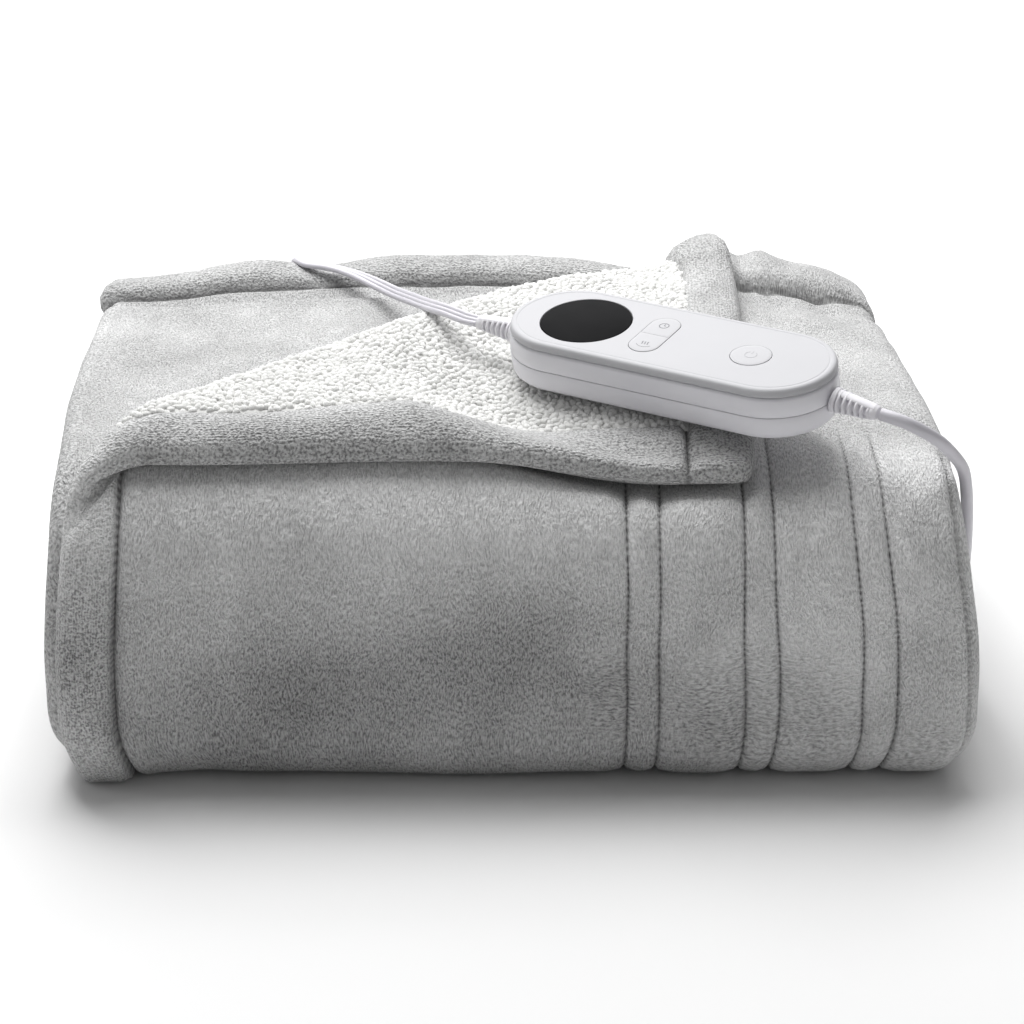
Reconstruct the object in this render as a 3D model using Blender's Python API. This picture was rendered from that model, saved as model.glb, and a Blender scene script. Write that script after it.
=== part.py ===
"""Electric heated throw, folded into a flat package, with its hand control lying on top.

The throw is one sheet. It is folded in three across its width, and the strip that this makes
is folded over and over along its length. One corner of the outermost layer is turned over
along a diagonal, which shows the sherpa side. Metres, +Z up, +X to the right, -Y to the front.
"""
import math

import bmesh
import bpy
from mathutils import Matrix, Vector

# The sheet: its thickness, and how far apart its folded layers lie.
CLOTH = 0.0074
LAYER_PITCH = 0.0081
RUN_PITCH = 0.0249
THROW_LENGTH = 1.73
HALF_CLOTH = CLOTH / 2
STRIP_HALF = LAYER_PITCH + HALF_CLOTH

# The three panels of the strip, from side to side.
PACK_HALF_WIDTH = 0.200
RIGHT_FOLD_X = PACK_HALF_WIDTH - STRIP_HALF
LEFT_FOLD_X = PACK_HALF_WIDTH - LAYER_PITCH / 2 - HALF_CLOTH
TOP_PANEL_EDGE_X = -0.193
TOP_PANEL = RIGHT_FOLD_X - TOP_PANEL_EDGE_X
RIGHT_ARC = math.pi * LAYER_PITCH
BOTTOM_PANEL = RIGHT_FOLD_X + LEFT_FOLD_X
LEFT_ARC = math.pi * LAYER_PITCH / 2
MIDDLE_PANEL = 0.372
THROW_WIDTH = TOP_PANEL + RIGHT_ARC + BOTTOM_PANEL + LEFT_ARC + MIDDLE_PANEL

# The strip's bends, in order from the end that lies on top at the back. Each one joins two
# runs of the strip, which lie a number of runs apart.
PACK_BACK_Y = 0.1593
BENDS = (
    # name, runs apart, first radius, second radius, y that the strip's middle layer reaches
    ("front_face", 5, 0.034, 0.017, -0.1397),
    ("back_face", 4, 0.026, 0.026, 0.1423),
    ("front_inner", 3, 0.028, 0.028, -0.1148),
    ("back_inner", 2, 0.0249, 0.0249, 0.1174),
    ("front_core", 1, 0.01245, 0.01245, -0.0899),
)
TOP_RUN_Z = STRIP_HALF + 5 * RUN_PITCH

# The side hem: how much it stands out, by distance from the edge. The end hem is wider.
HEM_SECTION = (
    # distance from the edge, height over the cloth
    (0.0, -0.0016),
    (0.0040, 0.0016),
    (0.0125, 0.0030),
    (0.0210, 0.0014),
    (0.0250, -0.0012),
    (0.0300, 0.0),
)
HEM_WIDTH = 0.025
END_HEM_WIDTH = 0.032
END_HEM_SCALE = HEM_WIDTH / END_HEM_WIDTH
SIDE_HEM_END = 0.398
MIDDLE_HEM_END_X = 0.060

# The corner that is turned over: the diagonal starts this far along both edges.
CORNER_FOLD = 0.3105
CORNER_RADIUS = 0.0055
FLAP_LIFT = 0.0101
FLAP_EASE = 0.030
# It is bunched up a little behind its front edge and stretched towards its back right corner.
FLAP_BUNCH = 0.0115
FLAP_STRETCH = 0.010
FLAP_EDGE = 0.12
FLAP_BACK = (0.05, 0.25)
ROOT_2 = math.sqrt(2)

# The sherpa lining that shows on the turned corner.
LINING = 0.0028
LINING_GAP = 0.0003
LINING_START = math.pi * CORNER_RADIUS * 2 / 5

# The hand control and its place on the throw.
HANDSET_LENGTH = 0.154
HANDSET_WIDTH = 0.0560
HANDSET_SEAT = Vector((0.0699, -0.0807, 0.1595))
HANDSET_YAW = math.radians(-31)
HANDSET_TILT = math.radians(10)
HANDSET_ROLL = math.radians(4)
SEAT_MARGIN = 0.015
SEAT_EASE = 0.065
SEAT_CLEAR = 0.0038
SEAT_RIGHT = (0.112, 0.140)
SEAT_FRONT = (-0.124, -0.148)
FLAP_TOP = TOP_RUN_Z + LAYER_PITCH + FLAP_LIFT + HALF_CLOTH + LINING_GAP + LINING

# How the folded pack settles: where each change begins and is full, and how much it is.
SLUMP_TOP_Z = (0.05, 0.15)
SLUMP_FOOT_Z = (0.035, 0.0)
SLUMP_SIDE_X = (0.06, 0.20)
SLUMP_FRONT_Y = (-0.006, -0.126)
SLUMP_BACK_Y = (-0.106, 0.144)
FOOT_INSET = 0.006
LEFT_INSET = 0.007
RIGHT_INSET = 0.010
BACK_RIGHT_INSET = 0.012
FRONT_BULGE = 0.006
FRONT_BULGE_Z = 0.15
CROWN = 0.026
CROWN_X = -0.02
CROWN_Y = 0.014
CROWN_REACH_X = 0.20
CROWN_REACH_Y = 0.10
RIGHT_DROP = 0.070
RIGHT_DROP_X = (0.08, 0.19)
WAVE = 0.012
WAVE_RATE = 26
WAVE_START = 0.6
LEFT_RISE = 0.015
LEFT_RISE_X = (0.02, -0.15)
BACK_RISE = 0.030
BACK_RISE_Y = (0.074, 0.154)
BACK_CORNER_DROP = 0.065
BACK_CORNER_X = (0.125, 0.195)
BACK_CORNER_Y = (0.085, 0.160)

# Stations across the panels, as x, and along the strip's straight runs.
PANEL_X = (-0.110, -0.060, 0.015, 0.090, 0.150)
RIGHT_ARC_STEPS = 5
LEFT_ARC_STEPS = 3
TOP_RUN_STEPS = 5
RUN_STEPS = 3
ARC_STEPS = 4

# Cords.
MAINS_CORD = 0.0055
LEAD_CORD = 0.0032
GAP = 0.0003


def clear_scene():
    for old in list(bpy.data.objects):
        bpy.data.objects.remove(old, do_unlink=True)


def make_material(name, colour, roughness, metallic=0.0):
    material = bpy.data.materials.new(name)
    material.use_nodes = True
    shader = material.node_tree.nodes["Principled BSDF"]
    shader.inputs["Base Color"].default_value = (*colour, 1.0)
    shader.inputs["Roughness"].default_value = roughness
    shader.inputs["Metallic"].default_value = metallic
    return material


def add_object(name, bm, material, smooth_angle=35, parent=None):
    """Turn a bmesh into a named object with its own material."""
    bmesh.ops.recalc_face_normals(bm, faces=bm.faces)
    mesh = bpy.data.meshes.new(name)
    bm.to_mesh(mesh)
    bm.free()
    mesh.materials.append(material)
    mesh.shade_smooth()
    mesh.set_sharp_from_angle(angle=math.radians(smooth_angle))
    obj = bpy.data.objects.new(name, mesh)
    obj.parent = parent
    bpy.context.scene.collection.objects.link(obj)
    return obj


def smooth_step(low, high, value):
    part = min(max((value - low) / (high - low), 0.0), 1.0)
    return part * part * (3 - 2 * part)


def table_value(table, distance):
    """Read a two-column table by straight lines between its rows."""
    for (low, start), (high, end) in zip(table, table[1:]):
        if distance <= high:
            return start + (end - start) * (distance - low) / (high - low)
    return table[-1][1]


# ---------------------------------------------------------------- how the strip is folded

def strip_legs():
    """The strip's middle layer from end to end, as straight legs and arcs.

    A leg is its start along the strip, length, start y, start z, heading and turning radius.
    """
    legs = []
    along, y, z, heading = 0.0, PACK_BACK_Y, TOP_RUN_Z, math.pi

    def add_leg(length, radius):
        nonlocal along, y, z, heading
        legs.append((along, length, y, z, heading, radius))
        y, z, heading = leg_point(legs[-1], length)
        along += length

    for _, runs, first, second, reach in BENDS:
        add_leg(abs(reach - y) - first, 0.0)
        add_leg(first * math.pi / 2, first)
        wall = runs * RUN_PITCH - first - second
        if wall > GAP:
            add_leg(wall, 0.0)
        add_leg(second * math.pi / 2, second)
    add_leg(THROW_LENGTH - along, 0.0)
    return legs


def leg_point(leg, distance):
    """The y, z and heading at a distance along one leg."""
    _, _, y, z, heading, radius = leg
    if radius == 0.0:
        return y + distance * math.cos(heading), z + distance * math.sin(heading), heading
    turned = heading + distance / radius
    y += radius * (math.sin(turned) - math.sin(heading))
    z += radius * (math.cos(heading) - math.cos(turned))
    return y, z, turned


def strip_point(along):
    """The y and z of the strip's middle layer, and the direction that points out of the pack."""
    leg = LEGS[0]
    for later in LEGS[1:]:
        if along >= later[0]:
            leg = later
    y, z, heading = leg_point(leg, along - leg[0])
    return y, z, math.sin(heading), -math.cos(heading)


def strip_section(across, through):
    """The three panels seen end on: x, and the height over the strip's middle layer."""
    if across < TOP_PANEL:
        return TOP_PANEL_EDGE_X + across, LAYER_PITCH + through
    across -= TOP_PANEL
    if across < RIGHT_ARC:
        turn = across / LAYER_PITCH
        radius = LAYER_PITCH + through
        return RIGHT_FOLD_X + radius * math.sin(turn), radius * math.cos(turn)
    across -= RIGHT_ARC
    if across < BOTTOM_PANEL:
        return RIGHT_FOLD_X - across, -LAYER_PITCH - through
    across -= BOTTOM_PANEL
    if across < LEFT_ARC:
        turn = across / (LAYER_PITCH / 2)
        radius = LAYER_PITCH / 2 + through
        return -LEFT_FOLD_X - radius * math.sin(turn), -LAYER_PITCH / 2 - radius * math.cos(turn)
    return -LEFT_FOLD_X + across - LEFT_ARC, through


def past_diagonal(across, along):
    """How far a point of the flat throw lies past the diagonal, towards the turned corner."""
    return (CORNER_FOLD - across - along) / ROOT_2


def turn_corner(across, along, through):
    """Turn a point past the diagonal over the top panel: its x, height and place along."""
    reach = past_diagonal(across, along)
    arc = math.pi * CORNER_RADIUS
    if reach < arc:
        turn = reach / CORNER_RADIUS
        shift = CORNER_RADIUS * math.sin(turn)
        lift = CORNER_RADIUS * (1 - math.cos(turn))
    else:
        turn = math.pi
        shift = arc - reach
        settled = 1 - math.exp(-(reach - arc) / FLAP_EASE)
        lift = 2 * CORNER_RADIUS + (FLAP_LIFT - 2 * CORNER_RADIUS) * settled
    move = (reach - shift + through * math.sin(turn)) / ROOT_2
    height = LAYER_PITCH + lift + through * math.cos(turn)
    lapped = smooth_step(0.0, 2 * arc, reach)
    bunched = FLAP_BUNCH * lapped * smooth_step(FLAP_EDGE, 0.0, across)
    stretched = FLAP_STRETCH * lapped * smooth_step(FLAP_EDGE, 0.0, along)
    stretched *= smooth_step(*FLAP_BACK, across)
    return TOP_PANEL_EDGE_X + across + move + stretched, height, along + move - bunched


def handset_frame():
    """The hand control's own frame in the world: X along it, Z out of its face."""
    turn = Matrix.Rotation(HANDSET_TILT, 4, "X") @ Matrix.Rotation(-HANDSET_ROLL, 4, "Y")
    turn = turn @ Matrix.Rotation(HANDSET_YAW, 4, "Z")
    return Matrix.Translation(HANDSET_SEAT) @ turn


def seat_share(x, y):
    """How much of the pack's height at this place is set by the hand control lying on it."""
    along = Vector((math.cos(HANDSET_YAW), math.sin(HANDSET_YAW)))
    offset = Vector((x - HANDSET_SEAT.x, y - HANDSET_SEAT.y))
    half_run = (HANDSET_LENGTH - HANDSET_WIDTH) / 2
    nearest = along * min(max(offset.dot(along), -half_run), half_run)
    outside = (offset - nearest).length - HANDSET_WIDTH / 2
    beside = 1 - smooth_step(*SEAT_RIGHT, x)
    before = 1 - smooth_step(*SEAT_FRONT, y)
    return (1 - smooth_step(SEAT_MARGIN, SEAT_EASE, outside)) * beside * before


def seat_height(x, y):
    """The height of the hand control's underside over this place."""
    normal = HANDSET_FRAME.to_3x3() @ Vector((0, 0, 1))
    offset = (x - HANDSET_SEAT.x) * normal.x + (y - HANDSET_SEAT.y) * normal.y
    return HANDSET_SEAT.z - offset / normal.z


def slump(x, y, z):
    """Settle the neatly folded pack into the soft, uneven shape that it lies in."""
    top = smooth_step(*SLUMP_TOP_Z, z)
    front = smooth_step(*SLUMP_FRONT_Y, y)
    top_inset = LEFT_INSET * front
    if x > 0:
        top_inset = RIGHT_INSET + BACK_RIGHT_INSET * smooth_step(*SLUMP_BACK_Y, y)
    inset = smooth_step(*SLUMP_SIDE_X, abs(x)) * (smooth_step(*SLUMP_FOOT_Z, z) * FOOT_INSET
                                                 + top * top_inset)
    x -= math.copysign(inset, x)
    y -= front * FRONT_BULGE * math.sin(math.pi * min(z / FRONT_BULGE_Z, 1.0))
    height = 1 + CROWN * math.exp(-((y - CROWN_Y) / CROWN_REACH_Y) ** 2
                                  - ((x - CROWN_X) / CROWN_REACH_X) ** 2)
    height -= RIGHT_DROP * smooth_step(*RIGHT_DROP_X, x)
    height += WAVE * math.cos(x * WAVE_RATE + WAVE_START)
    height += LEFT_RISE * smooth_step(*LEFT_RISE_X, x) * front
    height += BACK_RISE * smooth_step(*BACK_RISE_Y, y)
    height -= BACK_CORNER_DROP * smooth_step(*BACK_CORNER_X, abs(x)) * smooth_step(*BACK_CORNER_Y, y)
    seat = seat_share(x, y)
    height = height * (1 - seat) + seat * (seat_height(x, y) - SEAT_CLEAR) / FLAP_TOP
    return Vector((x, y, z * height))


def lay_cloth(across, along, through):
    """The folded place of a point of the flat throw.

    across and along are its distances from the free side edge and from the end that lies on
    top, and through its height in the cloth, from the sherpa side up to the flannel side.
    """
    if past_diagonal(across, along) > 0:
        x, height, along = turn_corner(across, along, through)
    else:
        x, height = strip_section(across, through)
    y, z, out_y, out_z = strip_point(along)
    return slump(x, y + height * out_y, z + height * out_z)


def hem_height(across, along):
    """How far the hem stands over the cloth, on the side that shows."""
    edge = min(across, along * END_HEM_SCALE) if along < SIDE_HEM_END else 1.0
    if across > TOP_PANEL:
        edge = 1.0
        middle_panel_x = strip_section(across, 0.0)[0]
        over_bottom = across > THROW_WIDTH - MIDDLE_PANEL
        if over_bottom and middle_panel_x < MIDDLE_HEM_END_X:
            edge = along * END_HEM_SCALE
    return table_value(HEM_SECTION, edge)


def throw_sides(across, along):
    """The lowest and highest point through the cloth, with the hem on the side that shows."""
    hem = hem_height(across, along)
    turned = smooth_step(-0.015, 0.015, past_diagonal(across, along) - 0.0086)
    round_edge = min(hem, 0.0)
    low = -HALF_CLOTH - (hem * turned + round_edge * (1 - turned))
    high = HALF_CLOTH + hem * (1 - turned) + round_edge * turned
    return low, high


def lining_sides(across, along):
    """The sherpa lies just over the turned corner's outer side."""
    return -HALF_CLOTH - LINING_GAP - LINING, -HALF_CLOTH - LINING_GAP


# ---------------------------------------------------------------- cloth as a solid

def across_lines():
    """Where the flat throw is divided across its width."""
    lines = [row[0] for row in HEM_SECTION]
    lines += [x - TOP_PANEL_EDGE_X for x in PANEL_X]
    start = TOP_PANEL
    lines += [start + RIGHT_ARC * step / RIGHT_ARC_STEPS for step in range(RIGHT_ARC_STEPS + 1)]
    start += RIGHT_ARC
    lines += [start + RIGHT_FOLD_X - x for x in reversed(PANEL_X)]
    start += BOTTOM_PANEL
    lines += [start + LEFT_ARC * step / LEFT_ARC_STEPS for step in range(LEFT_ARC_STEPS + 1)]
    start += LEFT_ARC
    lines += [start + LEFT_FOLD_X + x for x in PANEL_X]
    lines.append(THROW_WIDTH)
    return sorted(lines)


def along_lines():
    """Where the flat throw is divided along its length."""
    lines = [row[0] / END_HEM_SCALE for row in HEM_SECTION]
    hem_end = lines[-1]
    run = LEGS[0][1] - hem_end
    lines += [hem_end + run * (step + 1) / TOP_RUN_STEPS for step in range(TOP_RUN_STEPS)]
    for start, length, _, _, _, radius in LEGS[1:]:
        steps = ARC_STEPS if radius else RUN_STEPS
        if length < 0.08 and not radius:
            steps = 1 if length < 0.05 else 2
        lines += [start + length * (step + 1) / steps for step in range(steps)]
    return lines


def flat_cloth(across, along):
    """A flat sheet, divided at the given lines."""
    bm = bmesh.new()
    rows = [[bm.verts.new((a, s, 0.0)) for s in along] for a in across]
    for row, next_row in zip(rows, rows[1:]):
        for index in range(len(along) - 1):
            bm.faces.new((row[index], next_row[index], next_row[index + 1], row[index + 1]))
    return bm


def crease_flat(bm, reaches):
    """Divide the flat sheet along lines parallel to the diagonal."""
    normal = Vector((-1, -1, 0)).normalized()
    for reach in reaches:
        start = Vector((CORNER_FOLD - reach * ROOT_2, 0, 0))
        geometry = bm.verts[:] + bm.edges[:] + bm.faces[:]
        bmesh.ops.bisect_plane(bm, geom=geometry, dist=1e-6, plane_co=start, plane_no=normal)


def fold_solid(bm, sides):
    """Give the flat sheet its thickness and fold it: one closed solid."""
    solid = bmesh.new()
    lower, upper = {}, {}
    for vert in bm.verts:
        across, along, _ = vert.co
        low, high = sides(across, along)
        lower[vert] = solid.verts.new(lay_cloth(across, along, low))
        upper[vert] = solid.verts.new(lay_cloth(across, along, high))
    for face in bm.faces:
        solid.faces.new([upper[vert] for vert in face.verts])
        solid.faces.new([lower[vert] for vert in reversed(face.verts)])
    for edge in bm.edges:
        if edge.is_boundary:
            first, second = edge.verts
            solid.faces.new((upper[first], upper[second], lower[second], lower[first]))
    bm.free()
    bmesh.ops.triangulate(solid, faces=solid.faces)
    return solid


def corner_creases():
    """The lines where the turned corner bends, and where it has settled."""
    arc = math.pi * CORNER_RADIUS
    return [arc * step / 5 for step in range(6)] + [arc + FLAP_EASE * 0.6, arc + FLAP_EASE * 1.6]


def join_hidden_hem(bm):
    """Take the side hem's lines out of the runs where the hem lies plain."""
    hidden = []
    for edge in bm.edges:
        first, second = (vert.co for vert in edge.verts)
        level = abs(first.x - second.x) < 1e-6
        if level and HEM_SECTION[0][0] < first.x < HEM_SECTION[-1][0] - 1e-6:
            if min(first.y, second.y) > SIDE_HEM_END:
                hidden.append(edge)
    bmesh.ops.dissolve_edges(bm, edges=hidden, use_verts=True)


def flat_throw():
    """The whole throw laid flat, divided wherever it will bend."""
    bm = flat_cloth(across_lines(), along_lines())
    crease_flat(bm, corner_creases())
    join_hidden_hem(bm)
    bmesh.ops.remove_doubles(bm, verts=bm.verts, dist=0.0008)
    bmesh.ops.triangulate(bm, faces=bm.faces)
    return bm


def build_throw():
    grey = make_material("flannel", (0.46, 0.46, 0.46), 0.95)
    return add_object("throw", fold_solid(flat_throw(), throw_sides), grey, 50)


def build_lining():
    """The sherpa side of the turned corner, inside its hems and round its folded edge."""
    bm = flat_throw()
    elsewhere = []
    for face in bm.faces:
        across, along, _ = face.calc_center_median()
        inside_hem = across > HEM_WIDTH and CORNER_FOLD > along > END_HEM_WIDTH
        if not inside_hem or past_diagonal(across, along) < LINING_START:
            elsewhere.append(face)
    bmesh.ops.delete(bm, geom=elsewhere, context="FACES")
    white = make_material("sherpa", (0.85, 0.84, 0.82), 1.0)
    return add_object("sherpa_lining", fold_solid(bm, lining_sides), white, 50)


# ---------------------------------------------------------------- hand control

def oblong(length, width, steps=10):
    """The outline of an oblong with round ends, anticlockwise from its lower right."""
    half_run = (length - width) / 2
    points = []
    for centre, start in ((half_run, -math.pi / 2), (-half_run, math.pi / 2)):
        for step in range(steps + 1):
            turn = start + math.pi * step / steps
            points.append((centre + width / 2 * math.cos(turn), width / 2 * math.sin(turn)))
    return points


def stacked(outlines):
    """A closed solid through outlines of equally many points, each with its height."""
    bm = bmesh.new()
    rings = [[bm.verts.new((x, y, z)) for x, y in outline] for z, outline in outlines]
    for lower, upper in zip(rings, rings[1:]):
        for index in range(len(lower)):
            after = (index + 1) % len(lower)
            bm.faces.new((lower[index], lower[after], upper[after], upper[index]))
    bm.faces.new(list(reversed(rings[0])))
    bm.faces.new(rings[-1])
    return bm


HANDSET_SHELLS = (
    # name, then rows of height and how far the outline is drawn in
    ("handset_base", ((0.0, 0.0050), (0.0012, 0.0022), (0.0040, 0.0006), (0.0114, 0.0))),
    ("handset_body", ((0.0117, 0.0), (0.0198, 0.0006), (0.0204, 0.0014))),
)
FACE_ROWS = ((0.0207, 0.0014), (0.0212, 0.0006), (0.0236, 0.0009), (0.0243, 0.0017),
             (0.0245, 0.0030))
FACE_TOP = FACE_ROWS[-1][0]
WELL_DEPTH = 0.0026
KEY_THICK = 0.0016
KEY_PROUD = 0.0003
DISPLAY_X = -0.0420
DISPLAY_RADIUS = 0.0200
POWER_X = 0.0385
POWER_RADIUS = 0.0090
PAIR_X = -0.0080
PAIR_LENGTH = 0.0320
PAIR_WIDTH = 0.0140
KEY_GAP = 0.0004


def shell_solid(rows):
    return stacked([(z, oblong(HANDSET_LENGTH - 2 * draw, HANDSET_WIDTH - 2 * draw))
                    for z, draw in rows])


def disc(radius, steps=24):
    turns = [2 * math.pi * step / steps for step in range(steps)]
    return [(radius * math.cos(turn), radius * math.sin(turn)) for turn in turns]


def moved(outline, x, y=0.0):
    return [(px + x, py + y) for px, py in outline]


def turned_quarter(outline):
    return [(-y, x) for x, y in outline]


def cut_well(plate, outline):
    """Sink a well of the outline into the face plate."""
    floor = FACE_TOP - WELL_DEPTH
    cutter = add_object("well_cutter", stacked([(floor, outline), (FACE_TOP + 0.002, outline)]),
                        plate.data.materials[0], parent=plate.parent)
    cutter.hide_render = True
    cutter.display_type = "WIRE"
    modifier = plate.modifiers.new("well", "BOOLEAN")
    modifier.object = cutter
    modifier.operation = "DIFFERENCE"
    modifier.solver = "EXACT"


def key_outline(outline, draw):
    """Draw an outline in towards its middle by a fixed distance."""
    middle = sum((Vector(point) for point in outline), Vector((0, 0))) / len(outline)
    drawn = []
    for point in outline:
        arm = Vector(point) - middle
        drawn.append(tuple(middle + arm * (1 - draw / arm.length)))
    return drawn


def key_solid(outline):
    """A key with a softly rounded top edge, a gap inside its well."""
    top = FACE_TOP + KEY_PROUD
    return stacked([(top - KEY_THICK, outline), (top - 0.0005, outline),
                    (top, key_outline(outline, 0.0006))])


def half_pair(front):
    """One half of the oblong double key, front or back, with the gap at the middle."""
    radius = PAIR_WIDTH / 2 - KEY_GAP
    centre = PAIR_LENGTH / 2 - PAIR_WIDTH / 2
    arc = [math.pi * step / 10 for step in range(11)]
    outline = [(radius * math.cos(turn), centre + radius * math.sin(turn)) for turn in arc]
    outline += [(-radius, KEY_GAP / 2), (radius, KEY_GAP / 2)]
    if front:
        outline = [(-x, -y) for x, y in outline]
    return outline


def press_line(name, x, y, parent):
    """An empty at a key's middle, on the line that it is pressed along."""
    empty = bpy.data.objects.new(name, None)
    empty.parent = parent
    empty.location = (x, y, FACE_TOP)
    bpy.context.scene.collection.objects.link(empty)
    return empty


def build_handset():
    seat = bpy.data.objects.new("handset_seat", None)
    seat.matrix_world = HANDSET_FRAME
    bpy.context.scene.collection.objects.link(seat)
    white = make_material("white_plastic", (0.80, 0.80, 0.81), 0.35)
    for name, rows in HANDSET_SHELLS:
        add_object(name, shell_solid(rows), white, 30, seat)
    face_white = make_material("face_plastic", (0.86, 0.86, 0.87), 0.30)
    plate = add_object("handset_face", shell_solid(FACE_ROWS), face_white, 30, seat)
    cut_well(plate, moved(disc(DISPLAY_RADIUS + GAP, 32), DISPLAY_X))
    cut_well(plate, moved(disc(POWER_RADIUS + KEY_GAP), POWER_X))
    pair_well = turned_quarter(oblong(PAIR_LENGTH, PAIR_WIDTH))
    cut_well(plate, moved(pair_well, PAIR_X))

    black = make_material("display_glass", (0.012, 0.012, 0.014), 0.12)
    window = moved(disc(DISPLAY_RADIUS, 32), DISPLAY_X)
    floor = FACE_TOP - WELL_DEPTH + GAP
    add_object("display_window", stacked([(floor, window), (FACE_TOP, window)]), black, 30, seat)

    key_white = make_material("key_plastic", (0.85, 0.85, 0.86), 0.35)
    keys = (
        ("power_key", disc(POWER_RADIUS), POWER_X),
        ("heat_key", half_pair(front=True), PAIR_X),
        ("timer_key", half_pair(front=False), PAIR_X),
    )
    for name, outline, x in keys:
        middle_y = sum(point[1] for point in outline) / len(outline)
        empty = press_line(name + "_line", x, middle_y, seat)
        key = add_object(name, key_solid(outline), key_white, 30, empty)
        key.location = (0, -middle_y, -FACE_TOP)


# ---------------------------------------------------------------- cords

RELIEF_SECTION = (
    # distance from the hand control, radius
    (0.0, 0.0054),
    (0.0015, 0.0060),
    (0.0038, 0.0060),
    (0.0046, 0.0046),
    (0.0058, 0.0046),
    (0.0066, 0.0056),
    (0.0086, 0.0055),
    (0.0094, 0.0043),
    (0.0106, 0.0043),
    (0.0114, 0.0051),
    (0.0134, 0.0050),
    (0.0142, 0.0040),
    (0.0154, 0.0040),
    (0.0162, 0.0045),
    (0.0210, 0.0036),
)
RELIEF_Z = 0.0118
RELIEFS = (
    # name, end of the hand control, how far it droops in degrees
    ("mains_relief", 1, 6),
    ("lead_relief", -1, -2),
)


def turned_solid(section, steps=12, flat=1.0):
    """A round solid along +X, by rows of distance and radius."""
    bm = bmesh.new()
    rings = []
    for distance, radius in section:
        ring = []
        for step in range(steps):
            turn = 2 * math.pi * step / steps
            ring.append(bm.verts.new((distance, radius * math.cos(turn),
                                      radius * flat * math.sin(turn))))
        rings.append(ring)
    for lower, upper in zip(rings, rings[1:]):
        for index in range(steps):
            after = (index + 1) % steps
            bm.faces.new((lower[index], lower[after], upper[after], upper[index]))
    bm.faces.new(list(reversed(rings[0])))
    bm.faces.new(rings[-1])
    return bm


def build_reliefs():
    white = make_material("relief_rubber", (0.82, 0.82, 0.84), 0.5)
    for name, side, droop in RELIEFS:
        relief = add_object(name, turned_solid(RELIEF_SECTION, 10, 0.8), white, 30)
        start = Matrix.Translation((side * (HANDSET_LENGTH / 2 + GAP), 0, RELIEF_Z))
        turn = Matrix.Rotation(0 if side > 0 else math.pi, 4, "Z")
        lean = Matrix.Rotation(math.radians(droop), 4, "Y")
        relief.matrix_world = HANDSET_FRAME @ start @ turn @ lean


# The mains flex goes over the pack's right edge, down beside it and back along the surface.
MAINS_ROUTE = (
    # x, y, z
    (0.1539, -0.1336, 0.1658),
    (0.1625, -0.1377, 0.1641),
    (0.1712, -0.1359, 0.1592),
    (0.1792, -0.1297, 0.1525),
    (0.1860, -0.1207, 0.1440),
    (0.1926, -0.1092, 0.1330),
    (0.1962, -0.0977, 0.1195),
    (0.1992, -0.0827, 0.1020),
    (0.2018, -0.0657, 0.0820),
    (0.2038, -0.0477, 0.0615),
    (0.2052, -0.0287, 0.0415),
    (0.2070, -0.0077, 0.0235),
    (0.2090, 0.0143, 0.0105),
    (0.2112, 0.0373, 0.0042),
    (0.2130, 0.0623, 0.0031),
    (0.2135, 0.0893, 0.0031),
    (0.2115, 0.1163, 0.0031),
    (0.2070, 0.1443, 0.0031),
    (0.1995, 0.1723, 0.0031),
    (0.1918, 0.1993, 0.0031),
)
# The flat lead goes over the turned corner and the back edge, and hangs in a loop behind.
LEAD_ROUTE = (
    # x, y, z
    (-0.0153, -0.0318, 0.1748),
    (-0.0195, -0.0293, 0.1751),
    (-0.0239, -0.0238, 0.1751),
    (-0.0296, -0.0136, 0.1742),
    (-0.0355, -0.0010, 0.1721),
    (-0.0419, 0.0240, 0.1665),
    (-0.0487, 0.0500, 0.1610),
    (-0.0553, 0.0735, 0.1562),
    (-0.0619, 0.0925, 0.1534),
    (-0.0686, 0.1065, 0.1522),
    (-0.0754, 0.1175, 0.1518),
    (-0.0823, 0.1260, 0.1516),
    (-0.0896, 0.1320, 0.1517),
    (-0.0962, 0.1365, 0.1513),
    (-0.1012, 0.1415, 0.1505),
    (-0.1045, 0.1478, 0.1501),
    (-0.1066, 0.1550, 0.1488),
    (-0.1080, 0.1621, 0.1446),
    (-0.1087, 0.1662, 0.1370),
    (-0.1089, 0.1664, 0.1270),
    (-0.1086, 0.1640, 0.1150),
    (-0.1083, 0.1608, 0.1010),
    (-0.1083, 0.1598, 0.0840),
    (-0.1035, 0.1598, 0.0670),
    (-0.0925, 0.1598, 0.0545),
    (-0.0770, 0.1598, 0.0500),
    (-0.0610, 0.1598, 0.0540),
    (-0.0500, 0.1603, 0.0645),
    (-0.0450, 0.1615, 0.0791),
)


def smooth_route(route, spacing):
    """Points at an even spacing on a smooth curve through the route's points."""
    points = [Vector(point) for point in route]
    ends = [2 * points[0] - points[1]] + points + [2 * points[-1] - points[-2]]
    fine = []
    for a, b, c, d in zip(ends, ends[1:], ends[2:], ends[3:]):
        for step in range(20):
            t = step / 20
            fine.append(0.5 * (2 * b + (c - a) * t + (2 * a - 5 * b + 4 * c - d) * t * t
                               + (3 * b - a - 3 * c + d) * t ** 3))
    fine.append(points[-1])
    lengths = [0.0]
    for start, end in zip(fine, fine[1:]):
        lengths.append(lengths[-1] + (end - start).length)
    count = round(lengths[-1] / spacing)
    even = []
    index = 0
    for step in range(count + 1):
        target = lengths[-1] * step / count
        while index < len(fine) - 2 and lengths[index + 1] < target:
            index += 1
        part = (target - lengths[index]) / (lengths[index + 1] - lengths[index])
        even.append(fine[index].lerp(fine[index + 1], min(part, 1.0)))
    return even


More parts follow.
